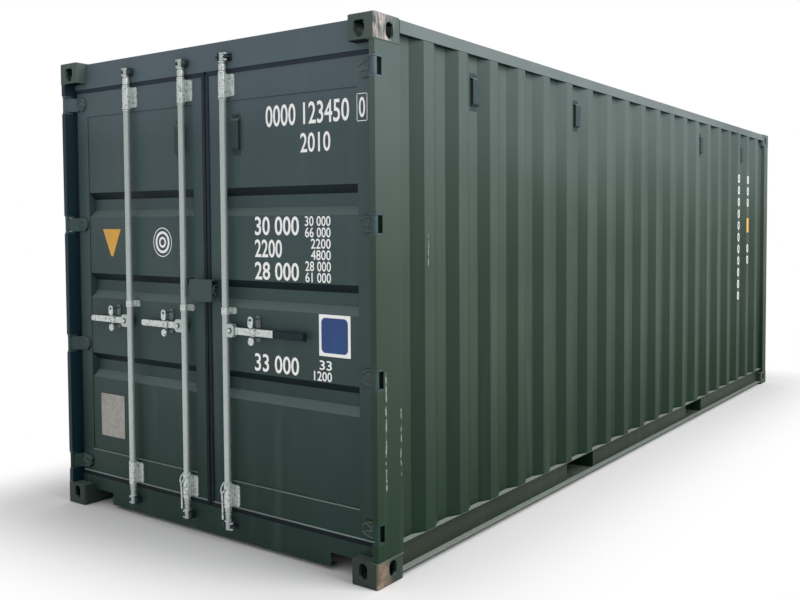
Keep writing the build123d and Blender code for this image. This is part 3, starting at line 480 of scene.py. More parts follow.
weld_paint = Finish("weld_paint", Specular_IOR_Level=0.3)
weld_ripple = weld_paint.rise(weld_paint.clouds(160, 3), 0.35, 0.7)
weld_paint.feed("Base Color", weld_paint.blend(0.35 + weld_ripple * 0.5, side_middle, bead_chalk))
weld_paint.feed("Roughness", 0.45 + weld_ripple * 0.2)
weld_paint.bump(weld_paint.clouds(220, 2), 0.6, 0.002)
beads = []
for across in (-1, 1):
    for along in (-1, 1):
        for level in (bottom_casting_top, top_casting_foot):
            points = [
                Vector((across * post_face, along * post_rear, level)),
                Vector((across * post_face, along * (post_front - bead_turn), level)),
                Vector((across * post_face, along * post_front, level)),
                Vector((across * (post_face - bead_turn), along * post_front, level)),
                Vector((across * post_inner, along * post_front, level)),
            ]
            beads.append(bent_rod("bead", points, bead_radius))
fit(together("casting_welds", *beads), weld_paint, "container")

# Vents: small moulded covers over holes in the walls and doors, each held by a screw through
# the tab at its top and foot.
vent_colour = (0.016, 0.036, 0.044, 1)
vent_plastic = Finish("vent_plastic", Roughness=0.5, Specular_IOR_Level=0.2)
vent_mottle = vent_plastic.clouds(30, 3)
# Faces that turn up take the dust colour: dust, and painted light from above.
vent_height = vent_plastic.rise(vent_plastic.facing("Z"), 0.3, 0.9)
vent_tone = vent_plastic.blend(vent_mottle * 0.25, vent_colour, chalk_colour)
vent_plastic.feed("Base Color", vent_plastic.blend(vent_height * 0.3, vent_tone, dust_and_top_light))
dress(vent_plastic, "side_vents", "left_door_vent", "right_door_vent")
screw_radius = 0.007
screw_height = 0.005
screw_set = 0.004
tab_half = 0.011
tab_depth = 0.020
vent_half = 0.030
ridge_pitch = 0.278


def stud(name, place, toward, radius, height):
    """A round head standing on a face: a rivet, a bolt or a pin."""
    turns = {"Y": (radians(90), 0, 0), "X": (0, radians(90), 0)}
    head = lone(
        bpy.ops.mesh.primitive_cylinder_add,
        name,
        vertices=16,
        radius=radius,
        depth=height,
        location=place,
        rotation=turns[toward],
    )
    soften(head, min(radius, height) * 0.4)
    return head


vent_low, vent_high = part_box("side_vents")
tab_face = vent_high.x - tab_depth
first_vent = vent_low.y + vent_half
second_vent = first_vent + 4 * ridge_pitch
last_vent = vent_high.y - vent_half
spots = []
for across in (-1, 1):
    for along in (first_vent, second_vent, -second_vent, last_vent):
        for level in (vent_low.z + tab_half, vent_high.z - tab_half):
            spots.append(Vector((across * tab_face, along, level)))
screw = stud("side_vent_screw", Vector((0, 0, 0)), "X", screw_radius, screw_height)
fit(repeated(screw, spots, "side_vent_screws"), vent_plastic, "container")
for door in ("left", "right"):
    low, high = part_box(f"{door}_door_vent")
    middle = (low.x + high.x) / 2
    levels = (low.z + tab_half, high.z - tab_half)
    spots = [Vector((middle, high.y - screw_set, level)) for level in levels]
    screw = stud("door_vent_screw", Vector((0, 0, 0)), "Y", screw_radius, screw_height)
    fit(repeated(screw, spots, f"{door}_door_vent_screws"), vent_plastic, f"{door}_door")

# Locking gear: forged and drawn steel, dipped in zinc, which has weathered to a pale grey with
# darker blotches where the coat is thin.
zinc_pale = (0.46, 0.53, 0.51, 1)
zinc_dark = (0.27, 0.32, 0.31, 1)
zinc_stain = (0.10, 0.11, 0.10, 1)
zinc_bend = 0.0015


def zinc_finish(name, metallic, pale, spread):
    """Weathered zinc: a faint spangle, with stains and darker blotches."""
    finish = Finish(name, Metallic=metallic)
    spangle = finish.node("ShaderNodeTexVoronoi", {}, {"Vector": finish.place, "Scale": 240.0}, "Color")
    spangle = finish.node("ShaderNodeSeparateColor", {}, {0: spangle})
    colour = finish.blend(spangle * spread * 0.5, pale, zinc_dark)
    stains = finish.rise(finish.clouds(75, 5), 0.50, 0.68)
    colour = finish.blend(stains * spread, colour, zinc_stain)
    finish.feed("Base Color", colour)
    finish.feed("Roughness", 0.32 + spangle * spread * 0.15 + stains * spread * 0.3)
    finish.bump(finish.clouds(120, 3), 0.2, 0.001, zinc_bend)
    return finish


bar_zinc = zinc_finish("bar_zinc", 0.5, zinc_pale, 0.12)
gear_bright = (0.70, 0.76, 0.74, 1)
gear_zinc = zinc_finish("gear_zinc", 0.6, gear_bright, 0.6)
for bar_name in ("left_outer", "left_inner", "right"):
    dress(bar_zinc, f"{bar_name}_bar")
    dress(gear_zinc, f"{bar_name}_handle", f"{bar_name}_catch")
dress(gear_zinc, "left_bar_brackets", "right_bar_brackets")
# The handle retainers are darker than the rest of the gear.
dark_zinc_colour = (0.10, 0.13, 0.13, 1)
dark_zinc = zinc_finish("dark_zinc", 0.3, dark_zinc_colour, 0.3)
dress(dark_zinc, "left_handle_retainers", "right_handle_retainers")

# Bars: each locking bar turns in its brackets. Rings and a sleeve on the thinner neck at each
# end keep it at its height, and a short arm by the cam stops it turning too far.
bar_radius = 0.017
bar_sides = {"left_outer": -1, "left_inner": -1, "right": 1}
catch_to_bar = 0.021
door_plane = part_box("left_door_frame")[0].y
panel_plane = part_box("left_door_panel")[0].y
bar_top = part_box("left_outer_bar")[1].z
bar_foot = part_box("left_outer_bar")[0].z
bar_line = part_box("left_outer_catch")[0].y + catch_to_bar
sleeve_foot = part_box("left_bar_brackets")[0].z
sleeve_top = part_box("left_bar_brackets")[1].z
sleeve_height = 0.118
upper_mouth = sleeve_top - sleeve_height
lower_mouth = sleeve_foot + sleeve_height
cam_height = 0.040
cam_gap = 0.006
upper_cam_foot = bar_top - cam_height - cam_gap
lower_cam_top = bar_foot + cam_height + cam_gap
ring_height = 0.008
thin_ring_height = 0.006
neck_sleeve_height = 0.034
ring_edge = 0.0025
arm_reach = 0.0175
arm_radius = 0.0040


def bar_ring(middle, level, radius, height=ring_height):
    """A turned ring or sleeve round the bar whose middle is given."""
    ring = lone(
        bpy.ops.mesh.primitive_cylinder_add,
        "ring",
        vertices=40,
        radius=radius,
        depth=height,
        location=(middle, bar_line, level),
    )
    soften(ring, ring_edge)
    return ring


bar_x = {}
for bar_name, side in bar_sides.items():
    plain_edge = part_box(f"{bar_name}_bar")[1 if side < 0 else 0].x
    middle = plain_edge + side * bar_radius
    bar_x[bar_name] = middle
    rings = [
        bar_ring(middle, upper_mouth - 0.004, radius=0.0225),
        bar_ring(middle, upper_mouth - 0.014, radius=0.0210, height=thin_ring_height),
        bar_ring(middle, lower_mouth + 0.004, radius=0.0215),
        bar_ring(middle, sleeve_top + 0.005, radius=0.0195),
        bar_ring(middle, sleeve_top + 0.029, radius=0.0180, height=neck_sleeve_height),
        bar_ring(middle, upper_cam_foot, radius=0.0185),
        bar_ring(middle, sleeve_foot - 0.006, radius=0.0175, height=thin_ring_height),
        bar_ring(middle, sleeve_foot - 0.020, radius=0.0175, height=thin_ring_height),
        bar_ring(middle, sleeve_foot - 0.034, radius=0.0170, height=thin_ring_height),
        bar_ring(middle, lower_cam_top, radius=0.0190),
    ]
    for level in (upper_cam_foot, lower_cam_top):
        points = [
            Vector((middle, bar_line - 0.012, level)),
            Vector((middle - side * 0.008, bar_line - 0.016, level)),
            Vector((middle - side * arm_reach, bar_line - 0.006, level)),
        ]
        rings.append(bent_rod("arm", points, arm_radius))
    fit(together(f"{bar_name}_bar_rings", *rings), gear_zinc, f"{bar_name}_bar")

# Keepers: forged lugs on the header and sill that the cams turn into, painted a dark blue-green
# with paler patches, each with a round nose beside the cam.
keeper_low, keeper_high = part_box("bar_keepers")
keeper_half = 0.020
keeper_middles = (keeper_low.z + keeper_half, keeper_high.z - keeper_half)
nose_radius = 0.016
nose_inner = 0.022
nose_outer = 0.040
nose_out = 0.004
nose_edge = 0.005
keeper_dark = (0.010, 0.020, 0.026, 1)
keeper_paint = Finish("keeper_paint", Specular_IOR_Level=0.4)
keeper_grime = keeper_paint.rise(keeper_paint.clouds(26, 4), 0.45, 0.75)
keeper_paint.feed("Base Color", keeper_paint.blend(keeper_grime * 0.35, keeper_dark, chalk_colour))
keeper_paint.feed("Roughness", 0.35 + keeper_grime * 0.3)
keeper_paint.bump(keeper_paint.clouds(60, 3), 0.4, 0.002, bend=0.003)
dress(keeper_paint, "bar_keepers")
noses = []
for bar_name, side in bar_sides.items():
    inner = bar_x[bar_name] - side * nose_inner
    outer = bar_x[bar_name] - side * nose_outer
    for middle in keeper_middles:
        nose = lone(
            bpy.ops.mesh.primitive_cylinder_add,
            "nose",
            vertices=32,
            radius=nose_radius,
            depth=abs(outer - inner),
            location=((inner + outer) / 2, keeper_low.y + nose_radius - nose_out, middle),
            rotation=(0, radians(90), 0),
        )
        soften(nose, nose_edge, 3)
        noses.append(nose)
fit(together("keeper_noses", *noses), keeper_paint, "container")

# Brackets: pressed sleeves riveted to the door's rails. The lower ones of the two middle bars
# have a wire loop round the sleeve's mouth and a rod down to the keeper.
rivet_radius = 0.0055
rivet_height = 0.005
rivet_columns = (0.032, 0.050)
rivet_rows = (-0.042, -0.014, 0.014, 0.042)
guide_columns = (0.028, 0.042)
guide_rows = (-0.010, 0.010)
guide_z = 1.210
plate_thickness = 0.006
bracket_front = door_plane - plate_thickness
guide_front = panel_plane - plate_thickness
set_screw_radius = 0.0045
set_screw_height = 0.006
set_screw_across = -0.0125
set_screw_out = -0.0175
set_screw_rows = (-0.044, 0.044)
loop_wire = 0.0042
tail_wire = loop_wire * 1.15
sleeve_middles = (sleeve_foot + sleeve_height / 2, sleeve_top - sleeve_height / 2)
for door, door_bars in (("left", ("left_outer", "left_inner")), ("right", ("right",))):
    rivet_spots = []
    screw_spots = []
    for bar_name in door_bars:
        screw_x = bar_x[bar_name] + set_screw_across
        for middle in sleeve_middles:
            for across in rivet_columns:
                for rise in rivet_rows:
                    rivet_spots.append(Vector((bar_x[bar_name] + across, bracket_front, middle + rise)))
            for rise in set_screw_rows:
                screw_spots.append(Vector((screw_x, bar_line + set_screw_out, middle + rise)))
        for across in guide_columns:
            for rise in guide_rows:
                rivet_spots.append(Vector((bar_x[bar_name] + across, guide_front, guide_z + rise)))
    rivet = stud("rivet", Vector((0, 0, 0)), "Y", rivet_radius, rivet_height)
    rivets = repeated(rivet, rivet_spots, f"{door}_bracket_rivets")
    fit(rivets, gear_zinc, f"{door}_door")
    # The set screws take the keepers' dark paint, in part a painted shade for the notches round them.
    set_screw = stud("set_screw", Vector((0, 0, 0)), "Y", set_screw_radius, set_screw_height)
    set_screws = repeated(set_screw, screw_spots, f"{door}_bracket_set_screws")
    fit(set_screws, keeper_paint, f"{door}_door")

for bar_name, side in (("left_inner", -1), ("right", 1)):
    axis = Vector((bar_x[bar_name], bar_line, 0))
    loop = bent_rod(
        "loop",
        [
            axis + Vector((-0.021, -0.022, lower_mouth - 0.046)),
            axis + Vector((-0.004, -0.029, lower_mouth - 0.034)),
            axis + Vector((0.024, -0.018, lower_mouth + 0.004)),
            axis + Vector((0.030, 0.006, lower_mouth + 0.013)),
            axis + Vector((-0.030, 0.006, lower_mouth + 0.013)),
            axis + Vector((-0.034, -0.014, lower_mouth - 0.012)),
            axis + Vector((-0.028, -0.022, lower_mouth - 0.036)),
        ],
        loop_wire,
        closed=True,
    )
    tail = bent_rod(
        "tail",
        [
            axis + Vector((-0.022, -0.022, lower_mouth - 0.040)),
            axis + Vector((-0.020, -0.020, lower_mouth - 0.075)),
            axis + Vector((-0.021, -0.018, sleeve_foot + 0.010)),
            axis + Vector((-0.022, -0.018, sleeve_foot - 0.036)),
            axis + Vector((-0.018, -0.020, sleeve_foot - 0.062)),
        ],
        tail_wire,
    )
    door = "left" if side < 0 else "right"
    fit(together(f"{bar_name}_bracket_loop", loop, tail), gear_zinc, f"{door}_door")

# Handles: forged levers, each on a round pin through the hub. The catch hangs over the lever
# as an oval plate on a bolt, a hook lies across the lever, and a lug with a hole is below it.
lever_half = 0.020
lever_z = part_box("right_handle_grip")[0].z + lever_half
lever_front = bar_line - 0.004
hub_front = bar_line - 0.011
pin_reach = 0.042
washer_radius = 0.015
pin_head_radius = 0.0105
catch_plate_half = 0.019
catch_plate_round = 0.0175
catch_bolt_radius = 0.0075
tongue_half = 0.020
tongue_round = 0.018
sheared_edge = 0.0008
hook_radius = 0.0055
for bar_name, side in bar_sides.items():
    door = "left" if side < 0 else "right"
    hub_x = bar_x[bar_name] + side * pin_reach
    washer_place = Vector((hub_x, hub_front - 0.001, lever_z))
    washer = stud(f"{bar_name}_pin_washer", washer_place, "Y", washer_radius, 0.004)
    fit(washer, keeper_paint, f"{bar_name}_bar")
    head_place = Vector((hub_x, hub_front - 0.004, lever_z))
    head = stud(f"{bar_name}_pin_head", head_place, "Y", pin_head_radius, 0.006)
    fit(head, gear_zinc, f"{bar_name}_bar")

    catch_low, catch_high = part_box(f"{bar_name}_catch")
    retainer_x = (catch_low.x + catch_high.x) / 2
    catch_plate = block(
        f"{bar_name}_catch_plate",
        (retainer_x - catch_plate_half, catch_low.y - 0.0025, catch_low.z),
        (retainer_x + catch_plate_half, catch_low.y + 0.0005, catch_high.z + 0.004),
    )
    round_corners(catch_plate, "Y", catch_plate_round)
    soften(catch_plate, sheared_edge)
    fit(catch_plate, gear_zinc, f"{bar_name}_catch")
    bolt_place = Vector((retainer_x, catch_low.y - 0.003, catch_high.z - 0.014))
    bolt = stud(f"{bar_name}_catch_bolt", bolt_place, "Y", catch_bolt_radius, 0.003)
    fit(bolt, keeper_paint, f"{bar_name}_catch")

    tongue_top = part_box(f"{door}_handle_retainers")[0].z
    tongue = block(
        f"{bar_name}_retainer_tongue",
        (retainer_x - tongue_half, catch_low.y - 0.001, tongue_top - 0.012),
        (retainer_x + tongue_half, catch_low.y + 0.005, tongue_top + 0.027),
    )
    round_corners(tongue, "Y", tongue_round)
    soften(tongue, sheared_edge)
    fit(tongue, gear_zinc, f"{door}_door")

    hook_front = lever_front - 0.002
    hook = bent_rod(
        f"{bar_name}_handle_hook",
        [
            Vector((retainer_x + 0.014, hook_front, lever_z + 0.019)),
            Vector((retainer_x - 0.004, hook_front, lever_z + 0.014)),
            Vector((retainer_x - 0.030, hook_front, lever_z - 0.004)),
            Vector((retainer_x - 0.014, hook_front, lever_z - 0.016)),
            Vector((retainer_x + 0.010, hook_front, lever_z - 0.019)),
        ],
        hook_radius,
    )
    fit(hook, gear_zinc, f"{bar_name}_handle")

# Grip: a sleeve of dark plastic moulded on the end of the right handle, with a separate cap
# driven on its tip.
grip_colour = (0.005, 0.017, 0.023, 1)
grip_plastic = Finish("grip_plastic", Specular_IOR_Level=0.15)
grip_mottle = grip_plastic.clouds(120, 3)
grip_plastic.feed("Base Color", grip_plastic.blend(grip_mottle * 0.06, grip_colour, chalk_colour))
grip_plastic.feed("Roughness", 0.45 + grip_mottle * 0.15)
grip_plastic.bump(grip_plastic.clouds(90, 2), 0.2, 0.001, bend=0.003)
dress(grip_plastic, "right_handle_grip")
cap_length = 0.014
cap_end = 0.001
cap_rim = 0.0015
grip_low, grip_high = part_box("right_handle_grip")
cap = block(
    "right_grip_cap",
    (grip_high.x - cap_length, grip_low.y - cap_rim, grip_low.z - cap_rim),
    (grip_high.x + cap_end, grip_high.y + cap_rim, grip_high.z + cap_rim),
)
round_corners(cap, "X", 0.009)
soften(cap, 0.002)
fit(cap, grip_plastic, "right_handle")

# Door seals: extruded black rubber, clamped round each door. The lips close the gutters above
# and below the doors, and a thin painted strip clamps the lower one; its pale colour is in part a
# painted highlight on the doors' lower edge. A pale bead along the foot of each door panel is a
# painted highlight on the ledge there.
rubber_low = (0.002, 0.007, 0.011, 1)
rubber_high = (0.018, 0.028, 0.042, 1)
rubber = Finish("seal_rubber", Specular_IOR_Level=0.15)
rubber_dust = rubber.rise(rubber.clouds(16, 4), 0.45, 0.8)
# painted sky light: the rubber turns paler and bluer upwards
rubber_tone = rubber.blend(rubber.rise(rubber.axis("Z"), 0.3, 2.4), rubber_low, rubber_high)
rubber.feed("Base Color", rubber.blend(rubber_dust * 0.04, rubber_tone, dust_and_top_light))
rubber.feed("Roughness", 0.6 + rubber_dust * 0.2)
dress(rubber, "left_door_seal", "right_door_seal")
lip_cover = 0.011
lip_gap = 0.0006
lip_front = 0.003
lip_inset = 0.002
lip_edge = 0.0012
strip_height = 0.008
ledge_highlight_bead_radius = 0.0035
header_foot = 2.443
sill_top = 0.163
sill_line = 0.325
sill_ends = (0.108, 1.058)
# Pale paint for the strip, in part a painted highlight, and for the bead, a painted highlight on the panel's
# foot ledge.
strip_and_highlight_colour = (0.20, 0.25, 0.23, 1)
strip_and_highlight_paint = green_paint("strip_and_highlight_paint", strip_and_highlight_colour, strip_and_highlight_colour, strip_and_highlight_colour)
for door, side in (("left", -1), ("right", 1)):
    low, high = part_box(f"{door}_door_frame")
    ends = (low.x + lip_inset, high.x - lip_inset)
    front = low.y - lip_front
    lips = [
        block("lip", (ends[0], front, foot), (ends[1], low.y, top), lip_edge)
        for foot, top in (
            (high.z - lip_cover, header_foot - lip_gap),
            (sill_top + lip_gap, low.z + lip_cover),
        )
    ]
    fit(together(f"{door}_door_seal_lips", *lips), rubber, f"{door}_door")
    strip_foot = low.z + lip_cover
    strip = block(
        "strip",
        (ends[0], front - 0.001, strip_foot),
        (ends[1], low.y, strip_foot + strip_height),
        0.001,
    )
    # painted highlight: a pale bead along the ledge at the foot of the panel
    points = [
        Vector((side * sill_ends[0], low.y + 0.001, sill_line)),
        Vector((side * 0.5, low.y + 0.001, sill_line)),
        Vector((side * sill_ends[1], low.y + 0.001, sill_line)),
    ]
    ledge_highlight_bead = bent_rod("ledge_highlight_bead", points, ledge_highlight_bead_radius)
    fit(together(f"{door}_door_strip_and_ledge_highlight", strip, ledge_highlight_bead), strip_and_highlight_paint, f"{door}_door")

# Hinge blades: forged straps whose faces have a raised rim and ribs that spread from the
# knuckle towards the rounded tip.
blade_count = 4
blade_low, blade_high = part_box("right_hinge_blades")
blade_half = 0.039
blade_pitch = (blade_high.z - blade_low.z - 2 * blade_half) / (blade_count - 1)
blade_face = door_plane - 0.010
blade_root = 1.156
rib_front = blade_face + 0.0012
rib_radius = 0.0042
rim_start = -0.002
rim_bend = -0.050
rim_tip = -0.078
rim_rise = 0.036
rim_tip_rise = 0.012
rib_low = (0.075, 0.100, 0.088, 1)
rib_high = (0.10, 0.13, 0.13, 1)
rib_paint = green_paint("rib_paint", rib_low, rib_low, rib_high)


def rib(side, middle, *run):
    """A rib on one blade, through places given by their reach from the root and their rise."""
    points = [Vector((side * (blade_root + reach), rib_front, middle + rise)) for reach, rise in run]
    return bent_rod("rib", points, rib_radius)


for door, side in (("left", -1), ("right", 1)):
    ribs = []
    for place in range(blade_count):
        middle = blade_low.z + blade_half + place * blade_pitch
        for edge in (1, -1):
            start = (rim_start, edge * rim_rise)
            bend = (rim_bend, edge * rim_rise)
            tip = (rim_tip, edge * rim_tip_rise)
            ribs.append(rib(side, middle, start, bend, tip))
        ribs.append(rib(side, middle, (-0.004, 0.004), (-0.022, 0.010), (-0.052, 0.024)))
        ribs.append(rib(side, middle, (-0.004, -0.002), (-0.024, -0.006), (-0.060, -0.010)))
        ribs.append(rib(side, middle, (-0.014, 0.026), (-0.026, -0.004), (-0.034, -0.028)))
    fit(together(f"{door}_hinge_ribs", *ribs), rib_paint, f"{door}_door")

# Lock box: a folded cover welded to the doors either side of the seam. Its front plate is on
# the right door, which opens first, and a hook for the lock shows at its open end.
box_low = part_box("left_lock_box")[0]
box_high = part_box("right_lock_box")[1]
box_front = box_low.y
cover_rim = 0.001
cover_front = 0.004
cover_back = 0.0005
lock_hook_radius = 0.0045
cover = block(
    "lock_box_cover",
    (box_low.x - cover_rim, box_front - cover_front, box_low.z - cover_rim),
    (box_high.x + cover_rim, box_front - cover_back, box_high.z + cover_rim),
)
round_corners(cover, "Y", 0.010)
soften(cover, 0.0012)
fit(cover, door_paint, "right_door")
lock_hook = bent_rod(
    "lock_hook",
    [
        Vector((box_high.x - 0.006, box_front + 0.040, 1.338)),
        Vector((box_high.x - 0.004, box_front + 0.022, 1.340)),
        Vector((box_high.x - 0.003, box_front + 0.010, 1.322)),
        Vector((box_high.x - 0.003, box_front + 0.014, 1.298)),
        Vector((box_high.x - 0.003, box_front + 0.026, 1.292)),
    ],
    lock_hook_radius,
)
fit(lock_hook, weld_paint, "right_door")

# Markings: plain white numbers in a thin coat of paint, on the right door and down the
# right-hand end of each side wall. The last figure on the door stands in a painted frame.
white_colour = (0.99, 1.0, 0.99, 1)
white_worn = (0.45, 0.48, 0.46, 1)
white_paint = Finish("white_paint")
white_scuff = white_paint.rise(white_paint.clouds(45, 4), 0.55, 0.8)
white_paint.feed("Base Color", white_paint.blend(white_scuff * 0.15, white_colour, white_worn))
white_paint.feed("Roughness", 0.5 + white_scuff * 0.2)
paint_coat = 0.0006
plain_stroke = 0.010
bold_stroke = 0.014
load_stroke = 0.012
wall_stroke = 0.0


def numerals(figures, left, right, foot, top, stroke=plain_stroke):
    """Plain figures as a thin coat on a door, as wide and tall as the place given for them."""
    bpy.ops.object.select_all(action="DESELECT")
    bpy.ops.object.text_add()
    words = bpy.context.object
    words.data.body = figures
    words.data.size = 1
    words.data.offset = stroke
    words.data.extrude = 0.01
    words.data.resolution_u = 3
    bpy.ops.object.convert(target="MESH")
    piece = bpy.context.object
    corners = [Vector(corner) for corner in piece.bound_box]
    start = Vector([min(corner[k] for corner in corners) for k in range(3)])
    end = Vector([max(corner[k] for corner in corners) for k in range(3)])
    wide = (right - left) / (end.x - start.x)
    tall = (top - foot) / (end.y - start.y)
    thick = paint_coat / (end.z - start.z)
    sized = Matrix.Diagonal((wide, tall, thick, 1)) @ Matrix.Translation(-start)
    upright = Matrix.Rotation(radians(90), 4, "X")
    placed = Matrix.Translation(Vector((left, panel_plane, foot))) @ upright
    piece.data.transform(placed @ sized)
    return piece


small_edge = 0.880
small_foot = 1.644
small_pitch = 0.054
small_height = 0.048
short_width = 0.130
long_width = 0.169
rows = [
    numerals("0000 123450", left=0.447, right=1.004, foot=2.130, top=2.236),
    numerals("2010", left=0.686, right=0.884, foot=1.996, top=2.090),
    numerals("30 000", left=0.360, right=0.671, foot=1.598, top=1.692, stroke=bold_stroke),
    numerals("2200", left=0.358, right=0.552, foot=1.488, top=1.578, stroke=bold_stroke),
    numerals("28 000", left=0.356, right=0.668, foot=1.376, top=1.466, stroke=bold_stroke),
]
for line, figures in enumerate(("30 000", "66 000", "2200", "4800", "28 000", "61 000")):
    foot = small_foot - line * small_pitch
    width = long_width if " " in figures else short_width
    rows.append(numerals(figures, small_edge - width, small_edge, foot, foot + small_height))
rows.append(numerals("33 000", left=0.347, right=0.661, foot=0.914, top=1.004, stroke=load_stroke))
rows.append(numerals("33", left=0.800, right=small_edge, foot=0.958, top=1.004))
rows.append(numerals("1200", left=0.762, right=small_edge, foot=0.904, top=0.950))
last_figure = numerals("0", left=1.068, right=1.106, foot=2.138, top=2.232)
last_figure.data.transform(Matrix.Translation((0, door_plane - panel_plane, 0)))
frame_low = Vector((1.055, door_plane - paint_coat, 2.122))
frame_high = Vector((1.119, door_plane, 2.248))
frame_line = 0.003
frame_sides = [
    block("line", frame_low, (frame_low.x + frame_line, frame_high.y, frame_high.z)),
    block("line", (frame_high.x - frame_line, frame_low.y, frame_low.z), frame_high),
    block("line", frame_low, (frame_high.x, frame_high.y, frame_low.z + frame_line)),
    block("line", (frame_low.x, frame_low.y, frame_high.z - frame_line), frame_high),
]
fit(together("door_numbers", *rows, last_figure, *frame_sides), white_paint, "right_door")

column_half = 0.026
column_top = 2.10
column_pitch = 0.112
figure_half = 0.040
near_column = 2.085
far_column = 2.363
near_heights = [column_top - step * column_pitch for step in range(11)]
far_heights = near_heights[:3] + near_heights[6:8]
wall_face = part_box("right_side_wall")[1].x
for wall, side in (("left", -1), ("right", 1)):
    turned = Matrix.Rotation(radians(90 * side), 4, "Z")
    figures = []
    for along, heights in ((near_column, near_heights), (far_column, far_heights)):
        for level in heights:
            foot = level - figure_half
            top = level + figure_half
            digit = numerals("0", -column_half, column_half, foot, top, wall_stroke)
            digit.data.transform(Matrix.Translation((0, -panel_plane, 0)))
            digit.data.transform(Matrix.Translation((side * wall_face, side * along, 0)) @ turned)
            figures.append(digit)
    fit(together(f"{wall}_wall_numbers", *figures), white_paint, "container")

# Plates and labels: a riveted plate of thin metal, a painted white ring, a yellow triangle of
# vinyl, a blue square of vinyl on a white plate, and a small yellow sticker on the wall.
plate_colour = (0.38, 0.37, 0.34, 1)
plate_dull = (0.24, 0.235, 0.215, 1)
plate_metal = Finish("plate_metal", Metallic=0.3)
plate_grain = plate_metal.rise(plate_metal.clouds(45, 5), 0.35, 0.7)
plate_metal.feed("Base Color", plate_metal.blend(plate_grain * 0.4, plate_colour, plate_dull))
plate_metal.feed("Roughness", 0.45 + plate_grain * 0.2)
plate_low = Vector((-0.979, panel_plane - 0.002, 0.419))
plate_high = Vector((-0.755, panel_plane, 0.667))
plate_margin = 0.012
plate_rivet_radius = 0.004
data_plate = block("plate", plate_low, plate_high)
round_corners(data_plate, "Y", 0.008)
plate_rivets = [
    stud("rivet", Vector((x, plate_low.y - 0.001, z)), "Y", plate_rivet_radius, 0.003)
    for x in (plate_low.x + plate_margin, plate_high.x - plate_margin)
    for z in (plate_low.z + plate_margin, plate_high.z - plate_margin)
]
fit(together("data_plate", data_plate, *plate_rivets), plate_metal, "left_door")

ring_middle = Vector((-0.382, panel_plane - paint_coat, 1.556))


def painted_ring(outer, line):
    """A flat ring of paint: a disc whose faces are inset and bridged through."""
    ring = lone(
        bpy.ops.mesh.primitive_cylinder_add,
        "ring",
        vertices=72,
        radius=outer,
        depth=paint_coat,
        location=ring_middle,
        rotation=(radians(90), 0, 0),
    )
    bpy.ops.object.mode_set(mode="EDIT")
    bpy.ops.mesh.select_mode(type="FACE")
    bpy.ops.mesh.select_all(action="DESELECT")
    bpy.ops.object.mode_set(mode="OBJECT")
    for face in ring.data.polygons:
        face.select = abs(face.normal.y) > 0.9
    bpy.ops.object.mode_set(mode="EDIT")
    bpy.ops.mesh.inset(thickness=line)
    bpy.ops.mesh.bridge_edge_loops()
    bpy.ops.object.mode_set(mode="OBJECT")
    return ring


rings = [
    painted_ring(outer=0.080, line=0.0045),
    painted_ring(outer=0.060, line=0.014),
    painted_ring(outer=0.030, line=0.012),
]
fit(together("ring_mark", *rings), white_paint, "left_door")

yellow_colour = (0.78, 0.40, 0.035, 1)
yellow_faded = (0.62, 0.36, 0.10, 1)
yellow_vinyl = Finish("yellow_vinyl", Specular_IOR_Level=0.4)
yellow_fade = yellow_vinyl.rise(yellow_vinyl.clouds(18, 3), 0.4, 0.75)
yellow_vinyl.feed("Base Color", yellow_vinyl.blend(yellow_fade * 0.6, yellow_colour, yellow_faded))
yellow_vinyl.feed("Roughness", 0.35 + yellow_fade * 0.2)
triangle_middle = -0.846
triangle_half = 0.085
triangle_top = 1.627
triangle_foot = 1.471
triangle_taper = 0.10
triangle = block(
    "yellow_triangle",
    (triangle_middle - triangle_half, panel_plane - 0.001, triangle_foot),
    (triangle_middle + triangle_half, panel_plane, triangle_top),
)
for corner in triangle.data.vertices:
    if corner.co.z < triangle_top - 0.01:
        corner.co.x = triangle_middle + (corner.co.x - triangle_middle) * triangle_taper
round_corners(triangle, "Y", 0.005, 3)
fit(triangle, yellow_vinyl, "left_door")
sticker_low = Vector((wall_face, 2.335, 1.585))
sticker_high = Vector((wall_face + 0.0008, 2.393, 1.725))
sticker = block("yellow_sticker", sticker_low, sticker_high)
round_corners(sticker, "X", 0.004, 3)
fit(sticker, yellow_vinyl, "container")

sign_low = Vector((0.800, panel_plane - 0.002, 1.026))
sign_high = Vector((1.002, panel_plane, 1.225))
sign_margin = 0.016
sign_plate = block("sign_plate", sign_low, sign_high)
round_corners(sign_plate, "Y", 0.002, 2)
fit(sign_plate, white_paint, "right_door")
blue_colour = (0.008, 0.050, 0.20, 1)
blue_faded = (0.02, 0.085, 0.26, 1)
blue_vinyl = Finish("blue_vinyl", Specular_IOR_Level=0.4)
blue_fade = blue_vinyl.rise(blue_vinyl.clouds(14, 3), 0.4, 0.75)
blue_vinyl.feed("Base Color", blue_vinyl.blend(blue_fade * 0.5, blue_colour, blue_faded))
blue_vinyl.feed("Roughness", 0.35 + blue_fade * 0.15)
blue_square = block(
    "blue_square",
    (sign_low.x + sign_margin, sign_low.y - 0.001, sign_low.z + sign_margin),
    (sign_high.x - sign_margin, sign_low.y, sign_high.z - sign_margin),
)
round_corners(blue_square, "Y", 0.024, 8)
fit(blue_square, blue_vinyl, "right_door")

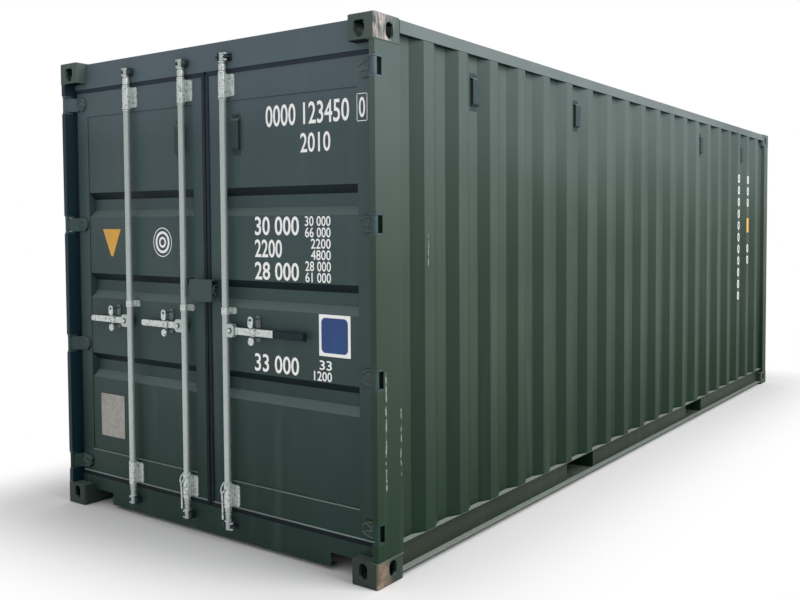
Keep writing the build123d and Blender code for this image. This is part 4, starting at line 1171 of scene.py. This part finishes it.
# Floor: sheets of plywood laid across the container, varnished, with a dark joint between them,
# and held to the cross members by rows of screws.
ply_light = (0.30, 0.17, 0.075, 1)
ply_dark = (0.16, 0.085, 0.036, 1)
ply_joint = (0.02, 0.012, 0.008, 1)
sheet_length = 1.16
plywood = Finish("floor_plywood")
grain = plywood.clouds(4, 6, (14, 1, 14))
sheet_place = plywood.axis("Y") * (1 / sheet_length)
sheet_place = plywood.node("ShaderNodeMath", {"operation": "FRACT"}, {0: sheet_place})
joint = 1 - plywood.rise(abs(sheet_place - 0.5), 0.001, 0.003)
ply_colour = plywood.blend(grain, ply_light, ply_dark)
plywood.feed("Base Color", plywood.blend(joint, ply_colour, ply_joint))
plywood.feed("Roughness", 0.5 + grain * 0.2)
plywood.bump(grain * 0.4 - joint, 0.3, 0.002)
dress(plywood, "floor")
floor_low, floor_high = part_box("floor")
screw_rows = 9
screw_columns = 5
end_margin = 0.10
side_margin = 0.08
floor_screw_radius = 0.006
floor_screw_height = 0.002
screw_run = floor_high.y - floor_low.y - 2 * end_margin
screw_width = floor_high.x - floor_low.x - 2 * side_margin
floor_screws = []
for row in range(screw_rows):
    for column in range(screw_columns):
        along = floor_low.y + end_margin + row * screw_run / (screw_rows - 1)
        across = floor_low.x + side_margin + column * screw_width / (screw_columns - 1)
        floor_screws.append(Vector((across, along, floor_high.z + 0.0005)))
floor_screw = lone(
    bpy.ops.mesh.primitive_cylinder_add,
    "floor_screw",
    vertices=12,
    radius=floor_screw_radius,
    depth=floor_screw_height,
)
soften(floor_screw, 0.0006)
fit(repeated(floor_screw, floor_screws, "floor_screws"), gear_zinc, "container")

# Studio: a pale floor that fades to white away from the container, an even white sky and a
# large soft lamp high on the right, which lights the long side more than the doors.
floor_size = 60
floor_drop = 0.001
shadow_start = 0.10
shadow_reach = 1.0
floor_colour = (0.80, 0.80, 0.80, 1)
bpy.ops.object.select_all(action="DESELECT")
bpy.ops.mesh.primitive_plane_add(size=floor_size, location=(0, 0, -floor_drop))
studio_floor = bpy.context.object
studio_floor.name = "studio_floor"
bpy.ops.object.transform_apply(location=True, rotation=True, scale=True)
pale = Finish("pale_floor", Roughness=0.9, Specular_IOR_Level=0.0)
pale.shader.inputs["Base Color"].default_value = floor_colour
half_wide = (cad_box[1].x - cad_box[0].x) / 2
half_long = (cad_box[1].y - cad_box[0].y) / 2


def past(letter, half):
    """How far a point of the floor lies beyond the container along one axis."""
    beyond = abs(pale.axis(letter)) - half
    return pale.node("ShaderNodeMath", {"operation": "MAXIMUM"}, {0: beyond, 1: 0.0})


past_side = past("X", half_wide)
past_end = past("Y", half_long)
away = pale.node("ShaderNodeMath", {"operation": "SQRT"}, {0: past_side * past_side + past_end * past_end})
rays = pale.tree.nodes.new("ShaderNodeLightPath")
seen = pale.node(
    "ShaderNodeMath",
    {"operation": "ADD", "use_clamp": True},
    {0: Signal(pale, rays.outputs["Is Camera Ray"]), 1: Signal(pale, rays.outputs["Is Glossy Ray"])},
)
fade = pale.rise(away, shadow_start, shadow_reach) * seen
glow = pale.node("ShaderNodeEmission", {}, {"Color": (1, 1, 1, 1), "Strength": 1.0})
lit = Signal(pale, pale.shader.outputs[0])
surface = pale.node("ShaderNodeMixShader", {}, {0: fade, 1: lit, 2: glow})
pale.tree.links.new(surface.socket, pale.tree.nodes["Material Output"].inputs["Surface"])
studio_floor.data.materials.append(pale.material)

sky_strength = 0.75
world = bpy.data.worlds.new("studio")
bpy.context.scene.world = world
world.use_nodes = True
sky = world.node_tree.nodes["Background"]
sky.inputs["Color"].default_value = (1, 1, 1, 1)
sky.inputs["Strength"].default_value = sky_strength
sight = world.node_tree.nodes.new("ShaderNodeLightPath")
backdrop = world.node_tree.nodes.new("ShaderNodeBackground")
backdrop.inputs["Color"].default_value = (1, 1, 1, 1)
choice = world.node_tree.nodes.new("ShaderNodeMixShader")
world.node_tree.links.new(sight.outputs["Is Camera Ray"], choice.inputs[0])
world.node_tree.links.new(sky.outputs[0], choice.inputs[1])
world.node_tree.links.new(backdrop.outputs[0], choice.inputs[2])
world.node_tree.links.new(choice.outputs[0], world.node_tree.nodes["World Output"].inputs["Surface"])

lamp_size = 6
lamp_power = 1000
lamp_place = Vector((9.5, -1.0, 7.5))
lamp_aim = Vector((1.2, 0.3, 1.3))
lamp_data = bpy.data.lights.new("soft_lamp", "AREA")
lamp_data.size = lamp_size
lamp_data.energy = lamp_power
lamp = bpy.data.objects.new("soft_lamp", lamp_data)
lamp.location = lamp_place
lamp.rotation_euler = (lamp_aim - lamp_place).to_track_quat("-Z", "Y").to_euler()
bpy.context.scene.collection.objects.link(lamp)

bpy.context.scene.view_settings.view_transform = "Standard"
